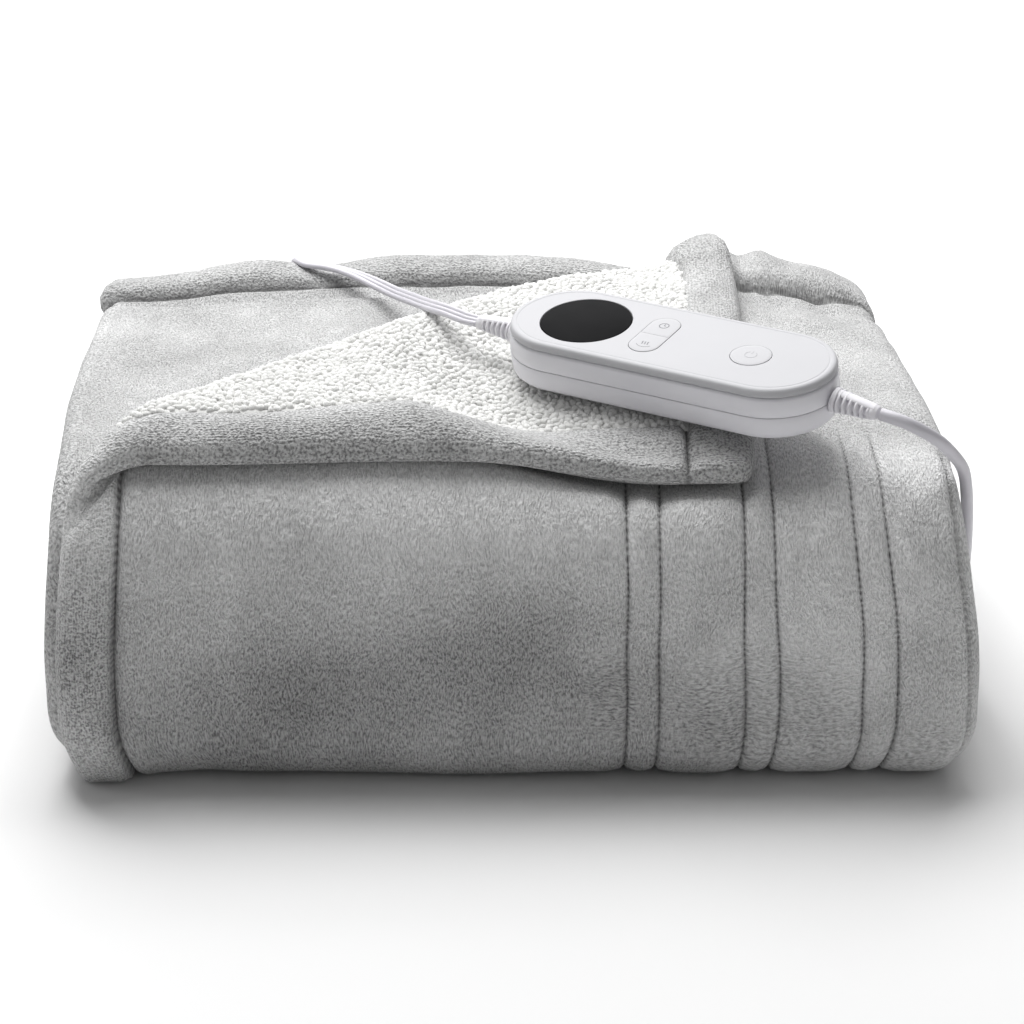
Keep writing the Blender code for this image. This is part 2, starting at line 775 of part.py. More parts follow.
def build_tube(name, route, diameter, spacing, resolution, material):
    curve = bpy.data.curves.new(name, "CURVE")
    curve.dimensions = "3D"
    curve.bevel_depth = diameter / 2
    curve.bevel_resolution = resolution
    curve.use_fill_caps = True
    points = smooth_route(route, spacing)
    spline = curve.splines.new("POLY")
    spline.points.add(len(points) - 1)
    for point, place in zip(spline.points, points):
        point.co = (*place, 1.0)
    curve.materials.append(material)
    tube = bpy.data.objects.new(name, curve)
    bpy.context.scene.collection.objects.link(tube)
    return tube


# The unseen length of the mains flex lies in a tied coil behind the pack.
COIL_CENTRE = Vector((0.1500, 0.2193, 0.0))
COIL_MEAN_RADIUS = 5.5 * MAINS_CORD
COIL_WIDE = 3 * MAINS_CORD + 0.0008
COIL_HIGH = 3 * MAINS_CORD + 0.0008
COIL_LOW = 0.0014
TIE_THICK = 0.0010
TIE_WIDE = 0.0080
TAIL_ROUTE = (
    # x, y, z
    (0.1260, 0.2575, 0.0150),
    (0.1160, 0.2581, 0.0130),
    (0.1040, 0.2571, 0.0100),
    (0.0920, 0.2538, 0.0080),
    (0.0800, 0.2493, 0.0071),
)


def ring_solid(inner, outer, low, high, steps=32):
    """A turned ring, its faces pointing out."""
    bm = bmesh.new()
    rows = ((inner, low), (outer, low), (outer, high), (inner, high))
    rings = []
    for radius, z in rows:
        ring = [bm.verts.new((x, y, z)) for x, y in disc(radius, steps)]
        rings.append(ring)
    for ring, next_ring in zip(rings, rings[1:] + rings[:1]):
        for index in range(steps):
            after = (index + 1) % steps
            bm.faces.new((ring[index], ring[after], next_ring[after], next_ring[index]))
    return bm


def build_coil(material):
    inner = COIL_MEAN_RADIUS - COIL_WIDE / 2
    outer = COIL_MEAN_RADIUS + COIL_WIDE / 2
    coil = add_object("flex_coil", ring_solid(inner, outer, COIL_LOW, COIL_LOW + COIL_HIGH),
                      material)
    coil.location = COIL_CENTRE
    loop = bmesh.new()
    half = TIE_WIDE / 2
    inner_flat = math.sqrt(inner ** 2 - half ** 2) - GAP
    rings = []
    for x in (-half, half):
        for grow in (GAP, GAP + TIE_THICK):
            low, high = COIL_LOW - grow, COIL_LOW + COIL_HIGH + grow
            near, far = inner_flat - grow, outer + grow
            corners = ((near, low), (far, low), (far, high), (near, high))
            rings.append([loop.verts.new((x, -y, z)) for y, z in corners])
    inside_left, outside_left, inside_right, outside_right = rings
    for first, second in ((outside_left, inside_left), (inside_left, inside_right),
                          (inside_right, outside_right), (outside_right, outside_left)):
        for index in range(4):
            after = (index + 1) % 4
            loop.faces.new((first[index], first[after], second[after], second[index]))
    black = make_material("tie_plastic", (0.75, 0.75, 0.75), 0.6)
    tie = add_object("coil_tie", loop, black)
    tie.location = COIL_CENTRE


# The mains plug is a flat one with two round pins, lying on its side behind the pack.
PLUG_SECTION = (
    # distance from the flex, half width, half thickness
    (0.0, 0.0042, 0.0038),
    (0.010, 0.0070, 0.0050),
    (0.020, 0.0120, 0.0066),
    (0.026, 0.0165, 0.0068),
    (0.044, 0.0175, 0.0068),
)
PIN_RADIUS = 0.0020
PIN_LENGTH = 0.0190
PIN_SPACING = 0.0190
PLUG_PLACE = Vector((0.0796, 0.24915, 0.0071))
PLUG_TURN = math.radians(200)


def build_plug():
    white = make_material("plug_plastic", (0.82, 0.82, 0.84), 0.4)
    bm = bmesh.new()
    rings = []
    for distance, wide, thick in PLUG_SECTION:
        nip = min(wide, thick) * 0.45
        corners = ((wide, thick - nip), (wide - nip, thick), (nip - wide, thick),
                   (-wide, thick - nip), (-wide, nip - thick), (nip - wide, -thick),
                   (wide - nip, -thick), (wide, nip - thick))
        rings.append([bm.verts.new((distance, y, z)) for y, z in corners])
    for lower, upper in zip(rings, rings[1:]):
        for index in range(8):
            after = (index + 1) % 8
            bm.faces.new((lower[index], lower[after], upper[after], upper[index]))
    bm.faces.new(list(reversed(rings[0])))
    bm.faces.new(rings[-1])
    place = Matrix.Translation(PLUG_PLACE) @ Matrix.Rotation(PLUG_TURN, 4, "Z")
    plug = add_object("mains_plug", bm, white)
    plug.matrix_world = place
    steel = make_material("pin_metal", (0.75, 0.73, 0.68), 0.25, 1.0)
    start = PLUG_SECTION[-1][0] + GAP
    rows = ((0, PIN_RADIUS), (PIN_LENGTH - 0.001, PIN_RADIUS), (PIN_LENGTH, PIN_RADIUS * 0.6))
    for name, side in (("plug_pin_left", -1), ("plug_pin_right", 1)):
        pin = add_object(name, turned_solid(rows, 10), steel)
        pin.matrix_world = place @ Matrix.Translation((start, side * PIN_SPACING / 2, 0))


# The lead ends in a flat connector that is held on the throw's end hem, behind the pack.
CONNECTOR_PLACE = Vector((-0.0450, 0.1615, 0.0795))
CONNECTOR_ROWS = (
    # height over the lead's end, half width, half thickness
    (0.0, 0.0050, 0.0030),
    (0.008, 0.0070, 0.0042),
    (0.011, 0.0150, 0.0058),
    (0.040, 0.0155, 0.0058),
    (0.043, 0.0135, 0.0046),
)


def build_connector():
    outlines = []
    for height, wide, thick in CONNECTOR_ROWS:
        outlines.append((height, oblong(2 * wide, 2 * thick, 4)))
    white = make_material("connector_plastic", (0.82, 0.82, 0.84), 0.4)
    connector = add_object("lead_connector", stacked(outlines), white)
    connector.location = CONNECTOR_PLACE


def build_cords():
    white = make_material("cord_vinyl", (0.80, 0.80, 0.83), 0.4)
    build_tube("mains_flex", MAINS_ROUTE, MAINS_CORD, MAINS_CORD * 2, 2, white)
    build_tube("mains_flex_tail", TAIL_ROUTE, MAINS_CORD, MAINS_CORD * 2, 2, white)
    build_tube("lead_flat", LEAD_ROUTE, LEAD_CORD, LEAD_CORD * 2.6, 2, white)
    build_coil(white)


LEGS = strip_legs()
HANDSET_FRAME = handset_frame()
clear_scene()
build_throw()
build_lining()
build_handset()
build_reliefs()
build_cords()
build_plug()
build_connector()
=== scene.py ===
"""Looks of the folded heated throw and its hand control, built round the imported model.

Metres, +Z up, +X to the right and -Y to the front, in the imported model's own frame.
"""
import math

import bmesh
import bpy
from mathutils import Matrix, Vector, noise


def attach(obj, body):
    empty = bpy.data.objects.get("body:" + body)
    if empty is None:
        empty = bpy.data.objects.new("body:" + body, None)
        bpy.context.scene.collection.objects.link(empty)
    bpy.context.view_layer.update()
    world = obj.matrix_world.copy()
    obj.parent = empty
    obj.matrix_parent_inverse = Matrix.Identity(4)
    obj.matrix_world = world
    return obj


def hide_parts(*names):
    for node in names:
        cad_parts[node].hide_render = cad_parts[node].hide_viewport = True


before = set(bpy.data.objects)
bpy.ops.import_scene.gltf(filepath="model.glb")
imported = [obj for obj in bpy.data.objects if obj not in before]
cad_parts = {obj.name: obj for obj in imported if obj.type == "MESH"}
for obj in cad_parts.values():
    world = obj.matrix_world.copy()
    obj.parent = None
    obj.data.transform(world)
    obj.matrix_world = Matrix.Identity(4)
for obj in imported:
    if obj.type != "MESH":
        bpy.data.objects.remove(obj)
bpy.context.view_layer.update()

# ---------------------------------------------------------------- camera
# The photograph looks down at the pack's smooth front by about twenty degrees, from far enough
# away that its sides hardly narrow.
CAMERA_RISE = math.radians(20.5)
CAMERA_REACH = 1.55
CAMERA_AIM = Vector((0, -0.0057, 0.0745))
CAMERA_SENSOR = 36.0
CAMERA_LENS = 117.9


def add_object(name, data):
    """A new object in the scene."""
    made = bpy.data.objects.new(name, data)
    bpy.context.scene.collection.objects.link(made)
    return made


lens = bpy.data.cameras.new("camera")
lens.sensor_width = CAMERA_SENSOR
lens.lens = CAMERA_LENS
lens.clip_end = 20
camera = add_object("camera", lens)
camera.location = CAMERA_AIM + CAMERA_REACH * Vector((0, -math.cos(CAMERA_RISE),
                                                      math.sin(CAMERA_RISE)))
camera.rotation_euler = (math.pi / 2 - CAMERA_RISE, 0, 0)
bpy.context.scene.camera = camera

# ---------------------------------------------------------------- mains flex
# A round flex with a soft white vinyl jacket, extruded. It leaves the hand control's right end,
# goes over the pack's edge and back along the surface, and its unseen length is wound into a
# coil of three turns by three behind the pack.
FLEX = 0.0055
FLEX_ROUTE = (
    # x, y, z
    (0.1539, -0.1336, 0.1658), (0.1625, -0.1377, 0.1641), (0.1712, -0.1359, 0.1592),
    (0.1792, -0.1297, 0.1525), (0.1860, -0.1207, 0.1440), (0.1926, -0.1092, 0.1330),
    (0.1962, -0.0977, 0.1195), (0.1992, -0.0827, 0.1020), (0.2018, -0.0657, 0.0820),
    (0.2038, -0.0477, 0.0615), (0.2052, -0.0287, 0.0415), (0.2070, -0.0077, 0.0235),
    (0.2090, 0.0143, 0.0105), (0.2112, 0.0373, 0.0042), (0.2130, 0.0623, 0.0031),
    (0.2135, 0.0893, 0.0031), (0.2115, 0.1163, 0.0031), (0.2070, 0.1443, 0.0031),
    (0.1995, 0.1723, 0.0031), (0.1918, 0.1993, 0.0031),
)
TAIL_ROUTE = (
    # x, y, z
    (0.1260, 0.2575, 0.0150), (0.1160, 0.2581, 0.0130), (0.1040, 0.2571, 0.0100),
    (0.0920, 0.2538, 0.0080), (0.0800, 0.2493, 0.0071),
)
COIL_CENTRE = Vector((0.1500, 0.2193, 0.0))
COIL_MEAN_RADIUS = 5.5 * FLEX
COIL_LOW = 0.0018
# The places that the flex fills in the coil's section, in order: column out, row up.
COIL_PLACES = ((1, 0), (1, 1), (0, 1), (0, 0), (-1, 0), (-1, 1), (-1, 2), (0, 2), (1, 2))
COIL_ENTRY = math.radians(12)
COIL_EXIT = math.radians(90)
COIL_STEPS = 36
FLEX_STEP = FLEX * 0.8


def smooth_step(low, high, value):
    part = min(max((value - low) / (high - low), 0.0), 1.0)
    return part * part * (3 - 2 * part)


def coil_route():
    """The flex's turns: each moves to the next place once that place has been left."""
    moves = len(COIL_PLACES) - 1
    full = 2 * math.pi
    window = (COIL_ENTRY + full - COIL_EXIT) / moves
    total = moves * full + COIL_EXIT - COIL_ENTRY
    count = round(total / full * COIL_STEPS)
    points = []
    for step in range(1, count + 1):
        turned = total * step / count
        turn = COIL_ENTRY + turned
        lap = int(turned // full)
        since_exit = (turn - COIL_EXIT) % full
        start = window * (moves - 1 - lap)
        if lap < moves and since_exit < window * moves:
            share = smooth_step(start, start + window, since_exit)
        else:
            share = 0.0
        here = Vector(COIL_PLACES[lap])
        place = here.lerp(Vector(COIL_PLACES[min(lap + 1, moves)]), share)
        radius = COIL_MEAN_RADIUS + place.x * FLEX
        points.append(COIL_CENTRE + Vector((radius * math.cos(turn), radius * math.sin(turn),
                                            COIL_LOW + (place.y + 0.5) * FLEX)))
    return points


def smooth_route(route, spacing, parts=20):
    """Points at an even spacing on a smooth curve through the route's points."""
    points = [Vector(point) for point in route]
    ends = [2 * points[0] - points[1]] + points + [2 * points[-1] - points[-2]]
    fine = []
    for a, b, c, d in zip(ends, ends[1:], ends[2:], ends[3:]):
        for step in range(parts):
            t = step / parts
            fine.append(0.5 * (2 * b + (c - a) * t + (2 * a - 5 * b + 4 * c - d) * t * t
                               + (3 * b - a - 3 * c + d) * t ** 3))
    fine.append(points[-1])
    lengths = [0.0]
    for start, end in zip(fine, fine[1:]):
        lengths.append(lengths[-1] + (end - start).length)
    count = round(lengths[-1] / spacing)
    even = []
    index = 0
    for step in range(count + 1):
        target = lengths[-1] * step / count
        while index < len(fine) - 2 and lengths[index + 1] < target:
            index += 1
        part = (target - lengths[index]) / (lengths[index + 1] - lengths[index])
        even.append(fine[index].lerp(fine[index + 1], min(part, 1.0)))
    return even


def linear(colour):
    """An sRGB hex colour as linear red, green, blue and alpha."""
    parts = [int(colour[place:place + 2], 16) / 255 for place in (1, 3, 5)]
    return (*[part / 12.92 if part <= 0.04045 else ((part + 0.055) / 1.055) ** 2.4
              for part in parts], 1.0)


def new_material(name, colour, fixed):
    """A material with its colour and fixed settings on the shader's own sockets."""
    material = bpy.data.materials.new(name)
    material.use_nodes = True
    shader = material.node_tree.nodes["Principled BSDF"]
    shader.inputs["Base Color"].default_value = linear(colour)
    for socket, value in fixed.items():
        shader.inputs[socket].default_value = value
    return material, material.node_tree, shader


def add_node(tree, kind, inputs=None, **settings):
    """Add a node with its settings; each input takes a value, an output, or a node's first output."""
    made = tree.nodes.new(kind)
    for name, value in settings.items():
        setattr(made, name, value)
    for socket, value in (inputs or {}).items():
        if isinstance(value, bpy.types.Node):
            value = value.outputs[0]
        if isinstance(value, bpy.types.NodeSocket):
            tree.links.new(value, made.inputs[socket])
        else:
            made.inputs[socket].default_value = value
    return made


def noisy(tree, at, scale, detail, output="Fac", **more):
    """A noise texture's output."""
    inputs = {"Vector": at, "Scale": scale, "Detail": detail, **more}
    return add_node(tree, "ShaderNodeTexNoise", inputs).outputs[output]


def maths(tree, operation, *values, kind="ShaderNodeMath"):
    """One step of arithmetic on values or other nodes' outputs."""
    return add_node(tree, kind, dict(enumerate(values)), operation=operation).outputs[0]


def mapped(tree, value, low, high, to_low=0.0, to_high=1.0):
    """A value moved from the range low to high to another one."""
    ends = {0: value, 1: low, 2: high, 3: to_low, 4: to_high}
    return add_node(tree, "ShaderNodeMapRange", ends).outputs[0]


def mixed(tree, share, low, high, **settings):
    """A mix of two colours, each a hex colour or another node's output."""
    low, high = [linear(end) if isinstance(end, str) else end for end in (low, high)]
    return add_node(tree, "ShaderNodeMix", {0: share, 6: low, 7: high}, data_type="RGBA",
                    **settings).outputs[2]


def dented(tree, shader, height, strength, distance):
    """Give a shader the normal of a bump."""
    bump = add_node(tree, "ShaderNodeBump", {"Height": height, "Strength": strength,
                                             "Distance": distance})
    tree.links.new(bump.outputs["Normal"], shader.inputs["Normal"])


def uneven_material(name, colour, fixed, cloud, tints=None, rough=None, dent=None, grain=None):
    """A material that a noise varies in its colour, its roughness, or by fine dents.

    cloud and grain are each a noise's scale and detail. The dents follow grain where it is given.
    """
    material, tree, shader = new_material(name, colour, fixed)
    place = add_node(tree, "ShaderNodeTexCoord").outputs["Object"]
    clouded = noisy(tree, place, *cloud)
    if tints:
        tree.links.new(mixed(tree, clouded, *tints), shader.inputs["Base Color"])
    if rough:
        tree.links.new(mapped(tree, clouded, 0.0, 1.0, *rough), shader.inputs["Roughness"])
    if dent:
        dented(tree, shader, noisy(tree, place, *grain) if grain else clouded, *dent)
    return material


# Soft vinyl, extruded: a satin jacket with a faint unevenness from handling.
vinyl = uneven_material("extruded_vinyl", "#cbc9cf", {
    "Roughness": 0.38, "IOR": 1.52, "Subsurface Weight": 0.05,
    "Subsurface Radius": (.002, .002, .002)}, (160.0, 3.0), tints=("#c6c4cb", "#d1cfd5"),
    dent=(0.15, 0.0004))


def flex_curve(name, points, diameter, material):
    """A round flex along the points: one open curve with a round section."""
    curve = bpy.data.curves.new(name, "CURVE")
    curve.dimensions = "3D"
    curve.bevel_depth = diameter / 2
    curve.bevel_resolution = 5
    curve.use_fill_caps = True
    spline = curve.splines.new("POLY")
    spline.points.add(len(points) - 1)
    for point, at in zip(spline.points, points):
        point.co = (*at, 1.0)
    spline.use_smooth = True
    curve.materials.append(material)
    return add_object(name, curve)


coil_points = coil_route()
flex_points = smooth_route(list(FLEX_ROUTE) + coil_points[:2], FLEX_STEP)[:-1]
flex_points += coil_points[2:-1]
flex_points += smooth_route([coil_points[-1]] + list(TAIL_ROUTE), FLEX_STEP)
mains_flex = flex_curve("mains_flex_run", flex_points, FLEX, vinyl)

# ---------------------------------------------------------------- mains plug
# A flat two-pin plug, moulded onto the flex in one shot of white plastic, with plated pins.
PLUG_PLACE = Matrix.Translation((0.0796, 0.24915, 0.0071)) @ Matrix.Rotation(math.radians(200), 4, "Z")
PLUG_SECTION = (
    # distance from the flex, half width, half thickness
    (0.0, 0.0040, 0.0036), (0.004, 0.0046, 0.0040), (0.010, 0.0070, 0.0050),
    (0.015, 0.0094, 0.0060), (0.020, 0.0120, 0.0065), (0.026, 0.0160, 0.0067),
    (0.034, 0.0172, 0.0067), (0.042, 0.0174, 0.0067), (0.0437, 0.0168, 0.0062),
    (0.0440, 0.0150, 0.0050),
)
PIN_RADIUS = 0.0020
PIN_LENGTH = 0.0190
PIN_SPACING = 0.0190
PIN_START = 0.0443
PIN_SECTION = (
    # distance from the pin's start, radius
    (0, PIN_RADIUS),
    (PIN_LENGTH - 0.0012, PIN_RADIUS),
    (PIN_LENGTH - 0.0004, PIN_RADIUS * 0.8),
    (PIN_LENGTH, PIN_RADIUS * 0.45),
)


def piece_from(bm, name, material, place=None, smooth_angle=40):
    """Turn a bmesh into a piece at the origin, its place in its mesh."""
    if place is not None:
        bm.transform(place)
    bmesh.ops.recalc_face_normals(bm, faces=bm.faces)
    mesh = bpy.data.meshes.new(name)
    bm.to_mesh(mesh)
    bm.free()
    mesh.materials.append(material)
    mesh.shade_smooth()
    mesh.set_sharp_from_angle(angle=math.radians(smooth_angle))
    return add_object(name, mesh)


def join_rings(bm, lower, upper):
    """Faces between two rings of equally many vertices."""
    for index in range(len(lower)):
        after = (index + 1) % len(lower)
        bm.faces.new((lower[index], lower[after], upper[after], upper[index]))


def loft(rings, close=False):
    """A solid through rings of equally many points; its ends are closed, or join up."""
    bm = bmesh.new()
    made = [[bm.verts.new(point) for point in ring] for ring in rings]
    for lower, upper in zip(made, made[1:]):
        join_rings(bm, lower, upper)
    if close:
        join_rings(bm, made[-1], made[0])
    else:
        bm.faces.new(list(reversed(made[0])))
        bm.faces.new(made[-1])
    return bm


def node_group(name, sockets):
    """An empty Geometry Nodes group with named inputs, and its group input's outputs."""
    group = bpy.data.node_groups.new(name, "GeometryNodeTree")
    for label, kind in sockets:
        group.interface.new_socket(label, in_out="INPUT", socket_type=kind)
    group.interface.new_socket("Geometry", in_out="OUTPUT", socket_type="NodeSocketGeometry")
    return group, add_node(group, "NodeGroupInput").outputs


def run_nodes(piece, group, values):
    """Run a Geometry Nodes group on a piece, and keep what it makes as the piece's plain mesh."""
    modifier = piece.modifiers.new(group.name, "NODES")
    modifier.node_group = group
    for socket in group.interface.items_tree:
        if socket.name in values:
            modifier[socket.identifier] = values[socket.name]
    seen = piece.evaluated_get(bpy.context.evaluated_depsgraph_get())
    piece.data = bpy.data.meshes.new_from_object(seen)
    piece.modifiers.remove(modifier)


def disc(radius, x=0.0, steps=64):
    """The outline of a circle, anticlockwise."""
    turns = [2 * math.pi * step / steps for step in range(steps)]
    return [(x + radius * math.cos(turn), radius * math.sin(turn)) for turn in turns]


def soft_oval(wide, thick, power=3.2, steps=40):
    """A rounded oblong outline, half width by half thickness."""
    points = []
    for step in range(steps):
        turn = 2 * math.pi * step / steps
        c, s = math.cos(turn), math.sin(turn)
        points.append((wide * math.copysign(abs(c) ** (2 / power), c),
                       thick * math.copysign(abs(s) ** (2 / power), s)))
    return points


# Moulded polypropylene: satin, with a very fine spark-eroded texture from the tool.
moulded = uneven_material("moulded_plastic", "#dedde1", {"Roughness": 0.42, "IOR": 1.49},
                          (60.0, 2.0), tints=("#dad9de", "#e3e2e6"), dent=(0.12, 0.0002),
                          grain=(2600.0, 2.0))

# Nickel-plated brass, drawn and tumbled: bright, with faint rubbing along the pin.
plated = uneven_material("plated_brass", "#cfcbc2", {"Metallic": 1.0, "Roughness": 0.24},
                         (900.0, 3.0), rough=(0.18, 0.36))

plug = piece_from(loft([[(d, y, z) for y, z in soft_oval(wide, thick)]
                        for d, wide, thick in PLUG_SECTION]), "plug_body", moulded, PLUG_PLACE)
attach(plug, "throw_pack")
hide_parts("mains_plug")
for side, node in ((-1, "plug_pin_left"), (1, "plug_pin_right")):
    rings = [[(PIN_START + distance, y, z) for y, z in disc(radius, side * PIN_SPACING / 2, 24)]
             for distance, radius in PIN_SECTION]
    pin = piece_from(loft(rings), node.replace("plug_", ""), plated, PLUG_PLACE)
    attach(pin, "throw_pack")
    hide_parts(node)

# ---------------------------------------------------------------- coil tie
# A soft plastic strip wrapped once round the coil, as the maker packs it.
TIE_WIDE = 0.0080
TIE_THICK = 0.0010
TIE_LOW = 0.0001
TIE_HIGH = 0.0194
TIE_NEAR = 0.0205
TIE_FAR = 0.0403

rings = []
middle = Vector(((TIE_NEAR + TIE_FAR) / 2, (TIE_LOW + TIE_HIGH) / 2))
for x, grow in ((-TIE_WIDE / 2, 0), (-TIE_WIDE / 2, TIE_THICK), (TIE_WIDE / 2, TIE_THICK),
                (TIE_WIDE / 2, 0)):
    wide = (TIE_FAR - TIE_NEAR) / 2 - TIE_THICK + grow
    thick = (TIE_HIGH - TIE_LOW) / 2 - TIE_THICK + grow
    rings.append([COIL_CENTRE + Vector((x, -(middle.x + a), middle.y + b))
                  for a, b in soft_oval(wide, thick, power=5, steps=48)])
tie = piece_from(loft(rings, close=True), "coil_strap", moulded)
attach(tie, "throw_pack")
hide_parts("coil_tie")

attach(mains_flex, "throw_pack")
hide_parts("mains_flex", "mains_flex_tail", "flex_coil")

# ---------------------------------------------------------------- flat lead
# The low-voltage lead from the hand control to the throw: three fine wires side by side in one
# ribbed ribbon of vinyl, which lies flat on the cloth.
LEAD_WIDTH = 0.0064
LEAD_LOBE = 0.00135
LEAD_PITCH = LEAD_WIDTH / 2 - LEAD_LOBE
LEAD_ROUTE = (
    # x, y, z
    (-0.0153, -0.0318, 0.1748), (-0.0195, -0.0293, 0.1751), (-0.0239, -0.0238, 0.1751),
    (-0.0296, -0.0136, 0.1742), (-0.0355, -0.0010, 0.1721), (-0.0419, 0.0240, 0.1665),
    (-0.0487, 0.0500, 0.1610), (-0.0553, 0.0735, 0.1562), (-0.0619, 0.0925, 0.1534),
    (-0.0686, 0.1065, 0.1522), (-0.0754, 0.1175, 0.1518), (-0.0823, 0.1260, 0.1516),
    (-0.0896, 0.1320, 0.1517), (-0.0962, 0.1365, 0.1513), (-0.1012, 0.1415, 0.1505),
    (-0.1045, 0.1478, 0.1501), (-0.1066, 0.1550, 0.1488), (-0.1080, 0.1621, 0.1446),
    (-0.1087, 0.1662, 0.1370), (-0.1089, 0.1664, 0.1270), (-0.1086, 0.1640, 0.1150),
    (-0.1083, 0.1608, 0.1010), (-0.1083, 0.1598, 0.0840), (-0.1035, 0.1598, 0.0670),
    (-0.0925, 0.1598, 0.0545), (-0.0770, 0.1598, 0.0500), (-0.0610, 0.1598, 0.0540),
    (-0.0500, 0.1603, 0.0645), (-0.0450, 0.1615, 0.0791),
)
LEAD_STEP = 0.003
# How the ribbon's flat side turns: upright past the pack's back edge, leaning over the top.
LEAD_EDGE_Y = 0.148
LEAD_EDGE_Z = (0.1485, 0.128)
LEAD_LEAN = 1.1
LEAD_LEAN_Y = (0.085, 0.135)


def lead_outline():
    """Three round ribs side by side, anticlockwise."""
    meet = math.acos(LEAD_PITCH / 2 / LEAD_LOBE)
    ribs = ((LEAD_PITCH, meet - math.pi, math.pi - meet, 10), (0, meet, math.pi - meet, 5),
            (-LEAD_PITCH, meet, 2 * math.pi - meet, 10), (0, math.pi + meet, 2 * math.pi - meet, 5))
    points = []
    for centre, start, end, steps in ribs:
        for step in range(steps):
            turn = start + (end - start) * step / steps
            points.append((centre + LEAD_LOBE * math.cos(turn), LEAD_LOBE * math.sin(turn)))
    return points


def sweep(points, outline, face_of):
    """Rings of the outline along the points; face_of gives the way its flat side looks."""
    rings = []
    for index, point in enumerate(points):
        ahead = points[min(index + 1, len(points) - 1)] - points[max(index - 1, 0)]
        side = ahead.cross(face_of(point)).normalized()
        face = side.cross(ahead).normalized()
        rings.append([point + side * a + face * b for a, b in outline])
    return rings


def lead_face(point):
    """The lead leans to the left over the top, and lies flat on the hem and against the back."""
    over = smooth_step(*LEAD_EDGE_Z, point.z) if point.y > LEAD_EDGE_Y else 0.0
    lean = LEAD_LEAN * (1 - smooth_step(*LEAD_LEAN_Y, point.y))
    return Vector((-lean, over, 1 - over))


lead_points = smooth_route(LEAD_ROUTE, LEAD_STEP)
lead = piece_from(loft(sweep(lead_points, lead_outline(), lead_face)), "ribbed_lead", vinyl)

# ---------------------------------------------------------------- lead connector
# The flat two-part connector where the lead joins the throw, moulded with a grip on each side.
CONNECTOR_PLACE = Vector((-0.0450, 0.1615, 0.0795))
CONNECTOR_ROWS = (
    # height over the lead's end, half width, half thickness
    (0.0, 0.0046, 0.0026), (0.003, 0.0052, 0.0031), (0.0075, 0.0070, 0.0041),
    (0.0095, 0.0105, 0.0049), (0.0112, 0.0142, 0.0054), (0.0130, 0.0150, 0.0057),
    (0.0250, 0.0154, 0.0057), (0.0254, 0.0150, 0.0053), (0.0260, 0.0150, 0.0053),
    (0.0264, 0.0154, 0.0057), (0.0400, 0.0153, 0.0057), (0.0420, 0.0147, 0.0052),
    (0.0430, 0.0132, 0.0044),
)
connector = piece_from(loft([[CONNECTOR_PLACE + Vector((x, y, height)) for x, y in
                              soft_oval(wide, thick, power=3.5)]
                             for height, wide, thick in CONNECTOR_ROWS]), "lead_coupler", moulded,
                       smooth_angle=32)
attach(connector, "throw_pack")
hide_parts("lead_connector")
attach(lead, "throw_pack")
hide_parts("lead_flat")

# ---------------------------------------------------------------- throw
# Grey flannel outside and white sherpa inside, sewn together round the edge with a turned-in
# hem, and quilted in pairs of channels that hold the heating wires. It is folded in three
# across, then over and over along its length, with one corner turned over the top.
# The cloth's thickness, and how far apart its layers and the folded strip's runs lie.
CLOTH = 0.0074
LAYER_PITCH = 0.0081
RUN_PITCH = 0.0249
THROW_LENGTH = 1.73
HALF_CLOTH = CLOTH / 2
STRIP_HALF = LAYER_PITCH + HALF_CLOTH
# The three panels across: where they fold, and how wide each is when laid flat.
PACK_HALF_WIDTH = 0.200
RIGHT_FOLD_X = PACK_HALF_WIDTH - STRIP_HALF
LEFT_FOLD_X = PACK_HALF_WIDTH - LAYER_PITCH / 2 - HALF_CLOTH
TOP_PANEL_EDGE_X = -0.193
TOP_PANEL = RIGHT_FOLD_X - TOP_PANEL_EDGE_X
RIGHT_ARC = math.pi * LAYER_PITCH
BOTTOM_PANEL = RIGHT_FOLD_X + LEFT_FOLD_X
LEFT_ARC = math.pi * LAYER_PITCH / 2
MIDDLE_PANEL = 0.372
THROW_WIDTH = TOP_PANEL + RIGHT_ARC + BOTTOM_PANEL + LEFT_ARC + MIDDLE_PANEL
MIDDLE_START = THROW_WIDTH - MIDDLE_PANEL
# The strip of three panels, from the back end of its top run inwards, bend after bend.
PACK_BACK_Y = 0.1593
LEG_SHORTEST = 0.0003
BENDS = (
    # name, runs apart, first radius, second radius, y that the strip's middle layer reaches
    ("front_face", 5, 0.034, 0.017, -0.1397),
    ("back_face", 4, 0.026, 0.026, 0.1423),
    ("front_inner", 3, 0.028, 0.028, -0.1148),
    ("back_inner", 2, 0.0249, 0.0249, 0.1174),
    ("front_core", 1, 0.01245, 0.01245, -0.0899),
)
TOP_RUN_Z = STRIP_HALF + 5 * RUN_PITCH
# The hems: how wide they are, how high they roll, how deep their stitches pull, where the end
# hem swells, how the side hem narrows and widens, where the lead dents it, and where hems end.
HEM_WIDTH = 0.0245
END_HEM_WIDTH = 0.0314
END_HEM_SCALE = HEM_WIDTH / END_HEM_WIDTH
HEM_HEIGHT = 0.0040
HEM_STITCH = 0.0030
HEM_SWELL = (0.285, 0.308)
HEM_NARROW = -0.0070
HEM_WIDER = 0.0030
END_HEM_WIDER = 0.40
LEAD_DENT = 0.55
LEAD_ACROSS = 0.100
LEAD_DENT_REACH = 0.018
SIDE_HEM_END = 0.440
MIDDLE_HEM_END_X = 0.060
# The corner turned over along a diagonal, and how its flap rises, bunches and stretches.
CORNER_FOLD = 0.3105
CORNER_RADIUS = 0.0055
FLAP_LIFT = 0.0101
FLAP_EASE = 0.030
FLAP_BUNCH = 0.0115
FLAP_STRETCH = 0.010
FLAP_EDGE = 0.12
FLAP_BACK = (0.05, 0.25)
